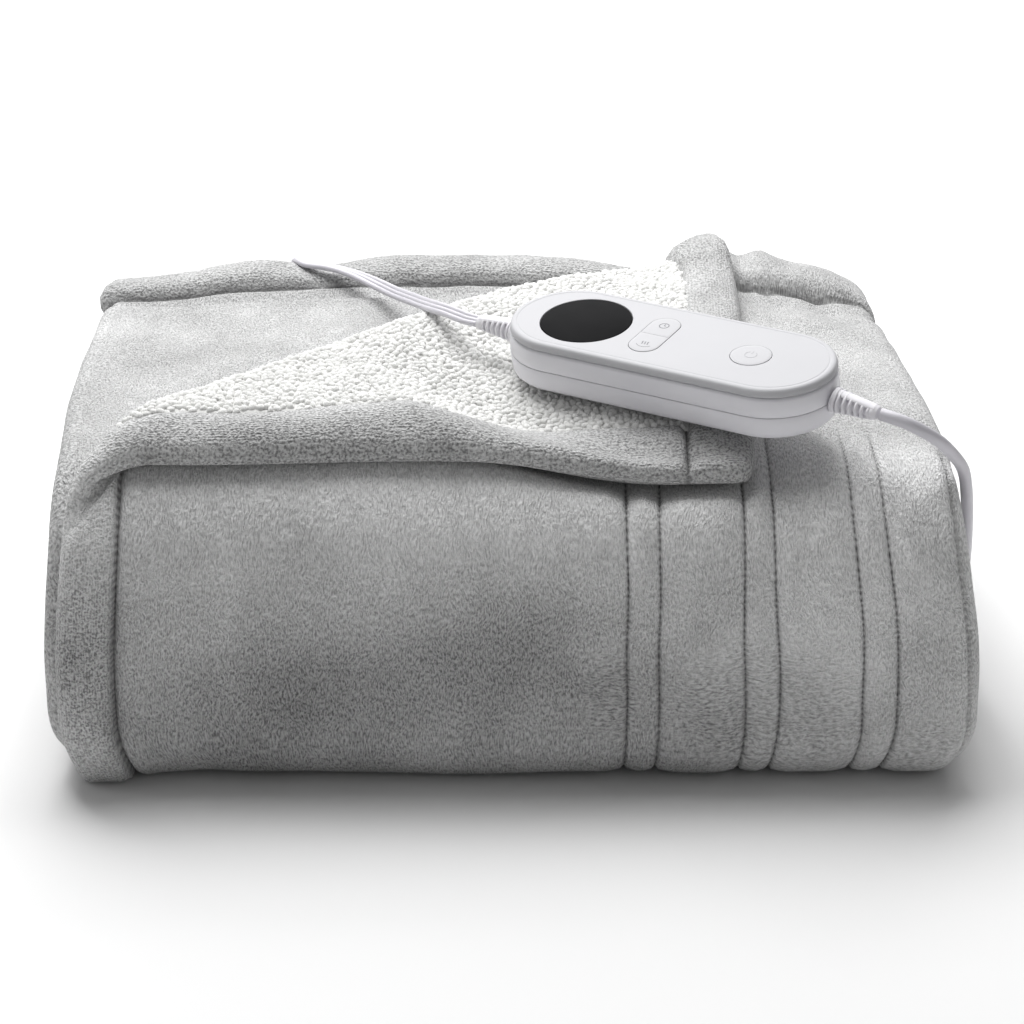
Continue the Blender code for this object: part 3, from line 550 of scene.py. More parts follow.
# The cloth dips beside the turned corner's end hem, which rises as a roll.
ROLL_DIP = 0.0060
ROLL_DIP_AT = Vector((0.066, 0.125))
ROLL_DIP_REACH = Vector((0.024, 0.045))
ROLL_DIP_Z = (0.115, 0.150)
ROLL_RISE = 0.0062
ROOT_2 = math.sqrt(2)
# The sherpa side's thickness, its gap over the cloth, and where past the fold it begins.
SHERPA = 0.0028
SHERPA_GAP = 0.0003
SHERPA_START = math.pi * CORNER_RADIUS * 2 / 5
# Where the hand control lies, and how the pack gives way under it.
HANDSET_LENGTH = 0.154
HANDSET_WIDTH = 0.0560
HANDSET_SEAT = Vector((0.0699, -0.0807, 0.1595))
HANDSET_YAW = math.radians(-31)
HANDSET_TILT = math.radians(10)
HANDSET_ROLL = math.radians(4)
SEAT_MARGIN = 0.015
SEAT_EASE = 0.065
SEAT_CLEAR = 0.0038
SEAT_RIGHT = (0.112, 0.140)
SEAT_FRONT = (-0.124, -0.148)
FLAP_TOP = TOP_RUN_Z + LAYER_PITCH + FLAP_LIFT + HALF_CLOTH + SHERPA_GAP + SHERPA
# How the folded pack settles: where each change begins and is full, and how much it is.
SLUMP_TOP_Z = (0.05, 0.15)
SLUMP_FOOT_Z = (0.035, 0.0)
SLUMP_SIDE_X = (0.06, 0.20)
SLUMP_FRONT_Y = (-0.006, -0.126)
SLUMP_BACK_Y = (-0.106, 0.144)
FOOT_INSET = 0.006
LEFT_INSET = 0.007
RIGHT_INSET = 0.010
BACK_RIGHT_INSET = 0.012
FRONT_BULGE = 0.006
FRONT_BULGE_Z = 0.15
CROWN = 0.026
CROWN_X = -0.02
CROWN_Y = 0.014
CROWN_REACH_X = 0.20
CROWN_REACH_Y = 0.10
RIGHT_DROP = 0.070
RIGHT_DROP_X = (0.08, 0.19)
WAVE = 0.012
WAVE_RATE = 26
WAVE_START = 0.6
LEFT_RISE = 0.015
LEFT_RISE_X = (0.02, -0.15)
BACK_RISE = 0.030
BACK_RISE_Y = (0.074, 0.154)
BACK_CORNER_DROP = 0.065
BACK_CORNER_X = (0.125, 0.195)
BACK_CORNER_Y = (0.085, 0.160)


def leg_point(leg, distance):
    """The y, z and heading at a distance along one leg of the folded strip."""
    _, _, y, z, heading, radius = leg
    if radius == 0.0:
        return y + distance * math.cos(heading), z + distance * math.sin(heading), heading
    turned = heading + distance / radius
    y += radius * (math.sin(turned) - math.sin(heading))
    z += radius * (math.cos(heading) - math.cos(turned))
    return y, z, turned


def strip_legs():
    """The strip's middle layer as legs: start, length, start y and z, heading, radius."""
    legs = []
    along, y, z, heading = 0.0, PACK_BACK_Y, TOP_RUN_Z, math.pi
    for _, runs, first, second, reach in BENDS:
        wall = runs * RUN_PITCH - first - second
        for length, radius in ((abs(reach - y) - first, 0.0), (first * math.pi / 2, first),
                               (wall, 0.0), (second * math.pi / 2, second)):
            if length > LEG_SHORTEST:
                legs.append((along, length, y, z, heading, radius))
                y, z, heading = leg_point(legs[-1], length)
                along += length
    legs.append((along, THROW_LENGTH - along, y, z, heading, 0.0))
    return legs


LEGS = strip_legs()


def strip_point(along):
    """The y and z of the strip's middle layer, and the direction that points out of the pack."""
    leg = LEGS[0]
    for later in LEGS[1:]:
        if along >= later[0]:
            leg = later
    y, z, heading = leg_point(leg, along - leg[0])
    return y, z, math.sin(heading), -math.cos(heading)


def strip_section(across, through):
    """The three panels seen end on: x, and the height over the strip's middle layer."""
    if across < TOP_PANEL:
        return TOP_PANEL_EDGE_X + across, LAYER_PITCH + through
    across -= TOP_PANEL
    if across < RIGHT_ARC:
        turn = across / LAYER_PITCH
        radius = LAYER_PITCH + through
        return RIGHT_FOLD_X + radius * math.sin(turn), radius * math.cos(turn)
    across -= RIGHT_ARC
    if across < BOTTOM_PANEL:
        return RIGHT_FOLD_X - across, -LAYER_PITCH - through
    across -= BOTTOM_PANEL
    if across < LEFT_ARC:
        turn = across / (LAYER_PITCH / 2)
        radius = LAYER_PITCH / 2 + through
        return -LEFT_FOLD_X - radius * math.sin(turn), -LAYER_PITCH / 2 - radius * math.cos(turn)
    return -LEFT_FOLD_X + across - LEFT_ARC, through


def bell(value):
    return math.exp(-value * value)


def past_diagonal(across, along):
    """How far a point of the flat throw lies past the diagonal, towards the turned corner."""
    return (CORNER_FOLD - across - along) / ROOT_2


def turn_corner(across, along, through):
    """Turn a point past the diagonal over the top panel: its x, height and place along."""
    reach = past_diagonal(across, along)
    arc = math.pi * CORNER_RADIUS
    if reach < arc:
        turn = reach / CORNER_RADIUS
        shift = CORNER_RADIUS * math.sin(turn)
        lift = CORNER_RADIUS * (1 - math.cos(turn))
    else:
        turn = math.pi
        shift = arc - reach
        settled = 1 - math.exp(-(reach - arc) / FLAP_EASE)
        lift = 2 * CORNER_RADIUS + (FLAP_LIFT - 2 * CORNER_RADIUS) * settled
    move = (reach - shift + through * math.sin(turn)) / ROOT_2
    height = LAYER_PITCH + lift + through * math.cos(turn)
    lapped = smooth_step(0.0, 2 * arc, reach)
    bunched = FLAP_BUNCH * lapped * smooth_step(FLAP_EDGE, 0.0, across)
    stretched = FLAP_STRETCH * lapped * smooth_step(FLAP_EDGE, 0.0, along)
    stretched *= smooth_step(*FLAP_BACK, across)
    return TOP_PANEL_EDGE_X + across + move + stretched, height, along + move - bunched


HANDSET_FRAME = (Matrix.Translation(HANDSET_SEAT) @ Matrix.Rotation(HANDSET_TILT, 4, "X")
                 @ Matrix.Rotation(-HANDSET_ROLL, 4, "Y") @ Matrix.Rotation(HANDSET_YAW, 4, "Z"))
SEAT_NORMAL = HANDSET_FRAME.to_3x3() @ Vector((0, 0, 1))
SEAT_ALONG = Vector((math.cos(HANDSET_YAW), math.sin(HANDSET_YAW)))
SEAT_HALF_RUN = (HANDSET_LENGTH - HANDSET_WIDTH) / 2


def seat_share(x, y):
    """How much of the pack's height at this place is set by the hand control lying on it."""
    offset = Vector((x - HANDSET_SEAT.x, y - HANDSET_SEAT.y))
    nearest = SEAT_ALONG * min(max(offset.dot(SEAT_ALONG), -SEAT_HALF_RUN), SEAT_HALF_RUN)
    outside = (offset - nearest).length - HANDSET_WIDTH / 2
    beside = 1 - smooth_step(*SEAT_RIGHT, x)
    before = 1 - smooth_step(*SEAT_FRONT, y)
    return (1 - smooth_step(SEAT_MARGIN, SEAT_EASE, outside)) * beside * before


def slump(x, y, z):
    """Settle the neatly folded pack into the soft, uneven shape that it lies in."""
    top = smooth_step(*SLUMP_TOP_Z, z)
    front = smooth_step(*SLUMP_FRONT_Y, y)
    top_inset = LEFT_INSET * front
    if x > 0:
        top_inset = RIGHT_INSET + BACK_RIGHT_INSET * smooth_step(*SLUMP_BACK_Y, y)
    inset = smooth_step(*SLUMP_SIDE_X, abs(x)) * (smooth_step(*SLUMP_FOOT_Z, z) * FOOT_INSET
                                                 + top * top_inset)
    x -= math.copysign(inset, x)
    y -= front * FRONT_BULGE * math.sin(math.pi * min(z / FRONT_BULGE_Z, 1.0))
    height = 1 + CROWN * math.exp(-((y - CROWN_Y) / CROWN_REACH_Y) ** 2
                                  - ((x - CROWN_X) / CROWN_REACH_X) ** 2)
    height -= RIGHT_DROP * smooth_step(*RIGHT_DROP_X, x)
    height += WAVE * math.cos(x * WAVE_RATE + WAVE_START)
    height += LEFT_RISE * smooth_step(*LEFT_RISE_X, x) * front
    height += BACK_RISE * smooth_step(*BACK_RISE_Y, y)
    height -= (BACK_CORNER_DROP * smooth_step(*BACK_CORNER_X, abs(x))
               * smooth_step(*BACK_CORNER_Y, y))
    seat = seat_share(x, y)
    rise = ((x - HANDSET_SEAT.x) * SEAT_NORMAL.x
            + (y - HANDSET_SEAT.y) * SEAT_NORMAL.y) / SEAT_NORMAL.z
    height = height * (1 - seat) + seat * (HANDSET_SEAT.z - rise - SEAT_CLEAR) / FLAP_TOP
    return Vector((x, y, z * height))


def lay_cloth(across, along, through):
    """The place in the pack of a point of the flat throw, through its thickness."""
    place = lay_folded(across, along, through)
    dip = bell((place.y - ROLL_DIP_AT.y) / ROLL_DIP_REACH.y)
    dip *= bell((place.x - ROLL_DIP_AT.x) / ROLL_DIP_REACH.x) * smooth_step(*ROLL_DIP_Z, place.z)
    place.z -= ROLL_DIP * dip
    return place


def lay_folded(across, along, through):
    """The same before the cloth dips beside the turned end hem."""
    if past_diagonal(across, along) > 0:
        x, height, along = turn_corner(across, along, through)
    else:
        x, height = strip_section(across, through)
    y, z, out_y, out_z = strip_point(along)
    return slump(x, y + height * out_y, z + height * out_z)


# The hem's pattern of pile is measured from its edge up to here.
HEM_REACH = 0.045
# How far from the tip the turned corner is rounded.
CORNER_ROUND = 0.012
# The lowest that the cloth comes over the surface it lies on.
SURFACE = 0.0002
# The quilting: pairs of seams, by their distance from the free side edge.
SEAMS = (0.2415, 0.2550, 0.2915, 0.3060, 0.3420, 0.3565, 0.3880)
SEAM_START = 0.232
SEAM_FADE = 0.030
SEAM_HALF = 0.0009
SEAM_DEPTH = 0.0019
PUFF_HALF = 0.0055
PUFF_DEPTH = 0.0018
SEAM_LINES = (-0.0055, -0.0032, -0.0017, -0.0008, 0.0, 0.0008, 0.0017, 0.0032, 0.0055)
SEAM_LINES_REACH = 0.0062
# Beside the outer seams: how far they wander, over what margin it begins, and where it ends.
SEAM_WANDER = 0.0016
SEAM_WANDER_START = 0.02
SEAM_WANDER_END = (0.41, 0.39)
SEAM_PUCKER = 0.5
QUILT_MARGIN = 0.03
# Where the side hem is drawn in and let out: how far along, and over what reach.
HEM_NARROW_AT = (0.220, 0.060)
HEM_WIDER_AT = (0.070, 0.050)
HEM_SHIFT_END = (0.100, 0.030)
# Soft creases that lie in the cloth.
CREASES = (
    # across, along, direction in degrees, half length, half width, height
    (0.020, 0.262, 60, 0.016, 0.0030, -0.0016),
    (0.012, 0.275, 35, 0.014, 0.0028, -0.0015),
    (0.030, 0.235, 80, 0.020, 0.0040, 0.0012),
    (0.330, 0.200, 70, 0.050, 0.0140, 0.0026),
    (0.300, 0.130, 40, 0.050, 0.0120, -0.0022),
    (0.345, 0.090, 20, 0.045, 0.0100, 0.0020),
    (0.360, 0.045, 80, 0.035, 0.0070, -0.0026),
    (0.330, 0.050, 85, 0.030, 0.0060, -0.0022),
    (0.120, 0.360, 20, 0.060, 0.0160, -0.0016),
    (0.160, 0.420, 160, 0.060, 0.0150, 0.0014),
    (0.060, 0.400, 100, 0.050, 0.0120, -0.0012),
    (0.3150, 0.016, 88, 0.026, 0.0042, -0.0045),
    (0.3290, 0.018, 84, 0.024, 0.0060, 0.0028),
    (0.3460, 0.016, 95, 0.020, 0.0060, -0.0018),
    (MIDDLE_START + 0.030, 0.220, 100, 0.050, 0.0120, -0.0030),
    (MIDDLE_START + 0.060, 0.160, 120, 0.050, 0.0140, 0.0027),
    (MIDDLE_START + 0.040, 0.090, 85, 0.040, 0.0100, -0.0027),
    (MIDDLE_START + 0.110, 0.110, 60, 0.045, 0.0140, 0.0024),
    (MIDDLE_START + 0.150, 0.070, 95, 0.035, 0.0100, -0.0021),
)


def ripple(across, along, rate, seed):
    """Smooth noise over the flat cloth, from -1 to 1, with its rate in swells a metre."""
    return noise.noise(Vector((across * rate, along * rate, seed)))


def wander(across, along):
    """The seams wander a little to each side, and the cloth beside them goes along."""
    near = smooth_step(SEAMS[0] - SEAM_WANDER_START, SEAMS[0], across)
    near *= smooth_step(*SEAM_WANDER_END, across)
    by_hem = smooth_step(0.0, HEM_WIDTH, across) * smooth_step(*HEM_SHIFT_END, across)
    drawn_in = HEM_NARROW * bell((along - HEM_NARROW_AT[0]) / HEM_NARROW_AT[1])
    let_out = HEM_WIDER * bell((along - HEM_WIDER_AT[0]) / HEM_WIDER_AT[1])
    sway = noise.noise(Vector((across * 24, along * 22, 3.1)))
    return SEAM_WANDER * near * sway + (drawn_in + let_out) * by_hem


def quilting(across, along):
    """The height of the quilted channels over the plain cloth."""
    if along < SEAM_START or not SEAMS[0] - QUILT_MARGIN < across < SEAMS[-1] + QUILT_MARGIN:
        return 0.0
    fade = smooth_step(SEAM_START, SEAM_START + SEAM_FADE, along)
    near = min(SEAMS, key=lambda seam: abs(seam - across))
    offset = across - near
    pucker = 1 + SEAM_PUCKER * noise.noise(Vector((near * 90, along * 260, 0.5)))
    return -fade * (SEAM_DEPTH * bell(offset / SEAM_HALF) * pucker
                    + PUFF_DEPTH * bell(offset / PUFF_HALF))


def crease_height(across, along):
    """The height of the creases over the plain cloth, each a soft ridge or furrow."""
    height = 0.0
    for at_across, at_along, turn, half_length, half_width, high in CREASES:
        a, s = across - at_across, along - at_along
        if a * a + s * s < (half_length + half_width) ** 2 * 4:
            c, n = math.cos(math.radians(turn)), math.sin(math.radians(turn))
            height += high * bell((a * c + s * n) / half_length) * bell((s * c - a * n) / half_width)
    return height


def rumple(across, along):
    """Uneven filling and handling, from broad swells down to small dents."""
    return 0.0012 * ripple(across, along, 11, 7.7) + 0.00045 * ripple(across, along, 42, 1.3)


def hem_edges(across, along):
    """The distances from the side hem's and the end hem's edge, or large ones where neither shows.

    The end hem's is scaled, so that both hems have their stitches at HEM_WIDTH.
    """
    if along > SIDE_HEM_END:
        return 1.0, 1.0
    wide = END_HEM_SCALE / (1 + END_HEM_WIDER * smooth_step(*HEM_SWELL, across))
    if across < TOP_PANEL + RIGHT_ARC:
        return across, along * wide
    below = TOP_PANEL + RIGHT_ARC < across < MIDDLE_START - LEFT_ARC
    inside = across > MIDDLE_START and strip_section(across, 0.0)[0] > MIDDLE_HEM_END_X
    return 1.0, 1.0 if below or inside else along * END_HEM_SCALE


def bulge(edge):
    """A hem's roll over its width, as the upper half of an ellipse."""
    middle = HEM_WIDTH / 2
    return math.sqrt(max(1 - ((edge - middle) / middle) ** 2, 0.0))


# Past the stitches: how far the hem's shape goes on, and the half width of a stitched furrow.
HEM_BESIDE = 0.016
STITCH_HALF = 0.0015
# The roll's round end at the throw's corner, and how much the end hem swells to the right.
ROLL_END = 0.009
END_SWELL = 0.7
# The ridge of cloth beside a hem, and the hollow beside the swollen end hem.
BESIDE_HIGH = 0.0010
SUNK_DEEP = 0.004
# Where the side hem goes round the pack's front: it is fuller there, and flat under the pack.
SIDE_FULLER = 0.45
SIDE_FULLER_ALONG = (0.300, 0.340)
SIDE_SQUARER_ALONG = (0.290, 0.330)
FOOT_START = 0.416
# The top of the turned end hem: from the fold, where its fuller roll begins and ends.
ROLL_RISE_IN = (0.0, 0.016)
ROLL_RISE_OUT = (0.075, 0.020)
# The hem ends softly before the fold on the pack's right.
FOLD_EASE = 0.012


def hem_height(across, along):
    """A full roll between the folded edge and the row of stitches, which is pulled in."""
    side, end = hem_edges(across, along)
    if min(side, end) > HEM_WIDTH + HEM_BESIDE:
        return 0.0
    pull = ripple(across, along, 130, 5.0)
    pucker = ripple(across, along, 48, 8.0)
    to_right = smooth_step(*HEM_SWELL, across)
    stitch = bell((end - HEM_WIDTH) / STITCH_HALF)
    stitch *= 0.5 + 0.5 * smooth_step(0.6, 1.1, side / HEM_WIDTH)
    if end < HEM_WIDTH:
        full = ((1 + END_SWELL * to_right)
                * min(bulge(end), math.sqrt(1 - (1 - min(side / ROLL_END, 1.0)) ** 2)))
    else:
        full = bulge(side) ** (1 - 0.6 * smooth_step(*SIDE_SQUARER_ALONG, along))
        stitch = max(stitch, bell((side - HEM_WIDTH) / STITCH_HALF))
    beside = bell((min(side, end) - HEM_WIDTH - 0.006) / 0.004)
    sunk = SUNK_DEEP * bell((end - HEM_WIDTH - 0.008) / 0.006) * to_right
    if across > TOP_PANEL - FOLD_EASE:
        full *= max(smooth_step(TOP_PANEL + RIGHT_ARC * 0.5, TOP_PANEL - FOLD_EASE, across),
                    smooth_step(MIDDLE_START - LEFT_ARC, MIDDLE_START - LEFT_ARC / 4, across))
        full *= 1 - LEAD_DENT * bell((across - MIDDLE_START - LEAD_ACROSS) / LEAD_DENT_REACH)
    full *= 1 + SIDE_FULLER * smooth_step(*SIDE_FULLER_ALONG, along)
    by_fold = past_diagonal(across, along)
    if end < HEM_WIDTH and by_fold > 0:
        near = smooth_step(*ROLL_RISE_IN, by_fold) * smooth_step(*ROLL_RISE_OUT, by_fold)
        full *= 1 + ROLL_RISE / HEM_HEIGHT * near
    foot = smooth_step(SIDE_HEM_END, FOOT_START, along)
    uneven = 0.36 - 0.22 * to_right
    return (HEM_HEIGHT * full * foot * (1 + 0.08 * pull + uneven * pucker)
            - HEM_STITCH * stitch * foot * (1 + 0.5 * pull) + BESIDE_HIGH * beside * foot - sunk)


# Where the outermost layer goes under the pack, so that it lies flat on the surface.
UNDERSIDE = (0.530, 0.495)


# Over the fold the hem goes from one side of the cloth to the other, half way round it.
FOLD_TOP = 0.0086
FOLD_CHANGE = 0.015
# The cloth's own edge: it is rounded by this much, and never thinner than this share.
EDGE_ROUND = 1.3 * HALF_CLOTH
EDGE_THINNEST = 0.12
# How far in from the edge the quilting and creases are full, below and above.
SHAPE_IN_BELOW = 0.03
SHAPE_IN_ABOVE = 0.01


def throw_sides(across, along):
    """The lowest and highest point through the cloth, with the hem on the side that shows."""
    hem = hem_height(across, along)
    turned = smooth_step(-FOLD_CHANGE, FOLD_CHANGE, past_diagonal(across, along) - FOLD_TOP)
    edge = min(across, along)
    thin = math.sqrt(max(1 - (1 - min(edge / EDGE_ROUND, 1.0)) ** 2, 0.0))
    half = HALF_CLOTH * max(thin, EDGE_THINNEST)
    shape = rumple(across, along) + quilting(across, along) + crease_height(across, along)
    low = -half - hem * turned * thin
    high = half + hem * (1 - turned) * thin
    low += shape * min(edge / SHAPE_IN_BELOW, 1.0) * turned
    high += (shape * (1 - turned) * min(edge / SHAPE_IN_ABOVE, 1.0)
             * smooth_step(*UNDERSIDE, along))
    return low, high


# Painted light and shade on the pile, in patches: lighter on the top and along the top of the front,
# darker in the middle and low on the front and on the turned corner's side hem, lighter again to the
# front's right.
PAINTED_LIGHT_PATCHES = (
    # across, along, reach across, reach along, tone
    (0.180, 0.300, 0.250, 0.040, 0.52),
    (0.140, 0.364, 0.135, 0.042, -0.32),
    (0.110, 0.415, 0.080, 0.018, -0.14),
    (0.006, 0.150, 0.010, 0.140, -0.36),
    (0.340, 0.350, 0.060, 0.060, 0.22),
    (0.400, 0.380, 0.020, 0.070, 0.35),
    (0.090, 0.345, 0.060, 0.020, 0.06),
    (0.060, 0.130, 0.120, 0.100, 0.16),
    (0.340, 0.160, 0.080, 0.100, 0.16),
)


def near_spot(across, along, spot):
    """How near a point is to a soft oval spot, from 0 to 1."""
    at_across, at_along, reach_across, reach_along = spot
    return bell((across - at_across) / reach_across) * bell((along - at_along) / reach_along)


def painted_light_tone(across, along):
    """How much painted light or shade the pile is given at a point."""
    return sum(change * near_spot(across, along, spot) for *spot, change in PAINTED_LIGHT_PATCHES)


# Where the pile lies sideways in small waves.
SIDEWAYS = (
    # across, along, reach across, reach along
    (0.300, 0.385, 0.050, 0.036), (0.372, 0.405, 0.022, 0.026), (0.235, 0.375, 0.014, 0.022),
)


def round_corner(across, along):
    """Round the throw's turned corner in plan."""
    u, v = 1 - across / CORNER_ROUND, 1 - along / CORNER_ROUND
    if u <= 0 or v <= 0:
        return across, along
    return (CORNER_ROUND * (1 - u * math.sqrt(1 - v * v / 2)),
            CORNER_ROUND * (1 - v * math.sqrt(1 - u * u / 2)))


def lying_sideways(across, along):
    """How much the pile lies sideways at a point."""
    return max(near_spot(across, along, spot) for spot in SIDEWAYS)


# The half width of a row's colour, at a hem and at a quilted seam.
HEM_ROW_HALF = 0.0011
SEAM_ROW_HALF = 0.0007


def stitch_line(across, along):
    """How near a point is to a row of stitches, from 0 to 1."""
    side, end = hem_edges(across, along)
    near = bell((end - HEM_WIDTH) / HEM_ROW_HALF)
    if end > HEM_WIDTH:
        near = max(near, bell((side - HEM_WIDTH) / HEM_ROW_HALF))
    if along > SEAM_START:
        fade = smooth_step(SEAM_START, SEAM_START + SEAM_FADE, along)
        near = max(near, fade * max(bell((across - seam) / SEAM_ROW_HALF) for seam in SEAMS))
    return near


def steps_between(start, end, step):
    """Values at an even step of about this size, without the end."""
    count = max(round((end - start) / step), 1)
    return [start + (end - start) * index / count for index in range(count)]


EDGE_LINES = (0.0, 0.0005, 0.0015, 0.0030, 0.0050, 0.0078, 0.0108, 0.0138, 0.0166, 0.0190, 0.0210,
              0.0224, 0.0233, 0.0241, 0.0249, 0.0257, 0.0267, 0.0282, 0.0305, 0.0332)
WIDE_HEM_END = 0.0500
WIDE_HEM_STEP = 0.0013
BOTTOM_STEP = 0.030
ZONES = (
    # name, start along, end along, step along, step in the top panel, step in the middle panel
    ("top run", 0.0, 0.300, 0.0037, 0.0037, 0.0050),
    ("front", 0.300, 0.510, 0.0040, 0.0042, 0.0400),
    ("underside", 0.510, 0.770, 0.0120, 0.0120, 0.0400),
    ("back", 0.770, 0.930, 0.0065, 0.0080, 0.0400),
    ("inner turns", 0.930, THROW_LENGTH, 0.0090, 0.0400, 0.0400),
)


def across_lines(zone):
    """Where a zone's mesh is cut across the cloth: finely at the hem and at the seams."""
    name, _, _, _, top_step, middle_step = zone
    lines = list(EDGE_LINES) + steps_between(EDGE_LINES[-1] + top_step, TOP_PANEL, top_step)
    if name != "inner turns":
        lines = [line for line in lines
                 if all(abs(line - seam) > SEAM_LINES_REACH for seam in SEAMS)]
        lines += [seam + offset for seam in SEAMS for offset in SEAM_LINES
                  if seam + offset < TOP_PANEL]
    fold = 12 if top_step < BOTTOM_STEP / 3 else 8
    lines += steps_between(TOP_PANEL, TOP_PANEL + RIGHT_ARC, RIGHT_ARC / fold)
    lines += steps_between(TOP_PANEL + RIGHT_ARC, MIDDLE_START - LEFT_ARC, BOTTOM_STEP)
    lines += steps_between(MIDDLE_START - LEFT_ARC, MIDDLE_START, LEFT_ARC / 8)
    lines += steps_between(MIDDLE_START, THROW_WIDTH, middle_step) + [THROW_WIDTH]
    return sorted(set(round(line, 6) for line in lines))


def zone_grids():
    """For each zone its lines across and its lines along."""
    grids = []
    for zone in ZONES:
        _, start, end, step, _, _ = zone
        rows = steps_between(start, end, step) + [end]
        if start == 0.0:
            rows = [line / END_HEM_SCALE for line in EDGE_LINES]
            rows += steps_between(rows[-1] + WIDE_HEM_STEP, WIDE_HEM_END, WIDE_HEM_STEP)
            rows += steps_between(WIDE_HEM_END, end, step) + [end]
        grids.append((across_lines(zone), [round(row, 6) for row in rows]))
    return grids


def cloth_shell(grids, sides, lay):
    """Both faces of the cloth, closed round the edge; finer zones meet coarser ones point to point."""
    bm = bmesh.new()
    flat = bm.loops.layers.uv.new("flat_cloth")
    nap = bm.verts.layers.float.new("sherpa_side")
    sewn = bm.verts.layers.float.new("stitch_line")
    rolled = bm.verts.layers.float.new("hem_roll")
    # This layer holds the painted light and shade of the pile.
    patches_and_painted_light = bm.verts.layers.float.new("painted_light_tone")
    sideways = bm.verts.layers.float.new("pile_sideways")
    points = {}

    def point(across, along):
        key = (across, along)
        if key not in points:
            low, high = sides(across, along)
            round_across, round_along = round_corner(across, along)
            round_across += wander(across, along)
            pair = [bm.verts.new(lay(round_across, round_along, through)) for through in (low, high)]
            pair[0][nap] = 1.0
            for vert in pair:
                vert[sewn] = stitch_line(across, along)
                vert[patches_and_painted_light] = painted_light_tone(across, along)
                vert[sideways] = lying_sideways(across, along)
                vert[rolled] = min(*hem_edges(across, along), HEM_REACH)
                vert.co.z = max(vert.co.z, SURFACE)
            pair[0][rolled] = min(pair[0][rolled], along * END_HEM_SCALE)
            if HEM_SWELL[0] < across < TOP_PANEL + RIGHT_ARC:
                pair[1][rolled] = HEM_REACH
            points[key] = pair
        return points[key]

    def add_faces(corners):
        for side in (0, 1):
            ring = corners if side else list(reversed(corners))
            face = bm.faces.new([point(*corner)[side] for corner in ring])
            for loop, corner in zip(face.loops, ring):
                loop[flat].uv = corner

    border = []
    for number, (columns, rows) in enumerate(grids):
        before = grids[number - 1][0] if number else columns
        after = grids[number + 1][0] if number + 1 < len(grids) else columns
        for s, (low, high) in enumerate(zip(rows, rows[1:])):
            for a, b in zip(columns, columns[1:]):
                under = [c for c in before if a < c < b] if s == 0 else []
                over = [c for c in after if a < c < b] if s == len(rows) - 2 else []
                corners = [(a, low)] + [(c, low) for c in under] + [(b, low), (b, high)]
                corners += [(c, high) for c in reversed(over)] + [(a, high)]
                if len(corners) == 4:
                    add_faces([corners[0], corners[1], corners[3]])
                    add_faces([corners[1], corners[2], corners[3]])
                else:
                    add_faces(corners)
            for edge in (columns[0], columns[-1]):
                border.append(((edge, low), (edge, high), edge == columns[0]))
    for edge, columns, flip in ((grids[0][1][0], grids[0][0], False),
                                (grids[-1][1][-1], grids[-1][0], True)):
        for a, b in zip(columns, columns[1:]):
            border.append(((a, edge), (b, edge), flip))
    for start, end, flip in border:
        ring = [(start, 0), (end, 0), (end, 1), (start, 1)]
        if flip:
            ring.reverse()
        face = bm.faces.new([point(*corner)[side] for corner, side in ring])
        for loop, (corner, side) in zip(face.loops, ring):
            loop[flat].uv = (corner[0] - CLOTH * (1 - side), corner[1] - CLOTH * (1 - side))
    return bm


# Brushed flannel, knitted from polyester and raised: fine ribs of pile about a millimetre apart, laid
# over in patches that read lighter or darker at random, with broader patches of painted light and
# shade over them, and a soft bloom where it is seen edge on.
# The hem's ribs lie in rows along its edge, and the pile parts at the stitches.
RIBS_ACROSS = 1450.0
RIBS_ALONG = 520.0
WAVES_ACROSS = 360.0
WAVES_ALONG = 960.0
HEM_RIB = 0.0012
STITCH = 0.0030
VECTOR = "ShaderNodeVectorMath"
flannel, tree, shader = new_material("brushed_flannel", "#c4c4c4", {
    "Roughness": 0.92, "Specular IOR Level": 0.12, "Sheen Weight": 0.22, "Sheen Roughness": 0.40,
    "Sheen Tint": linear("#f2f2f2")})
uv = add_node(tree, "ShaderNodeUVMap", uv_map="flat_cloth").outputs["UV"]
place = add_node(tree, "ShaderNodeTexCoord").outputs["Object"]
hem_at, sewn_at, painted_light_at, sideways_at, sherpa_at = [
    add_node(tree, "ShaderNodeAttribute", attribute_name=name).outputs["Fac"]
    for name in ("hem_roll", "stitch_line", "painted_light_tone", "pile_sideways", "sherpa_side")]
# The pile's ribs, or waves where it lies sideways, both swirled a little.
laid = noisy(tree, uv, 16.0, 2.5)
swirl = maths(tree, "SUBTRACT", noisy(tree, uv, 70.0, 2.0, "Color"), (0.5, 0.5, 0.5), kind=VECTOR)
swirled = maths(tree, "MULTIPLY_ADD", swirl, (0.006, 0.006, 0.0), uv, kind=VECTOR)
ribs_at = maths(tree, "MULTIPLY", swirled, (RIBS_ACROSS, RIBS_ALONG, 1.0), kind=VECTOR)
ribs = noisy(tree, ribs_at, 1.0, 1.6, Roughness=0.6)
waves_at = maths(tree, "MULTIPLY", swirled, (WAVES_ACROSS, WAVES_ALONG, 1.0), kind=VECTOR)
waves = noisy(tree, waves_at, 1.0, 2.2, Roughness=0.65)
lying = mapped(tree, maths(tree, "ADD", laid, sideways_at), 0.75, 1.15)
grain = add_node(tree, "ShaderNodeMix", {0: lying, 2: ribs, 3: waves}, data_type="FLOAT")
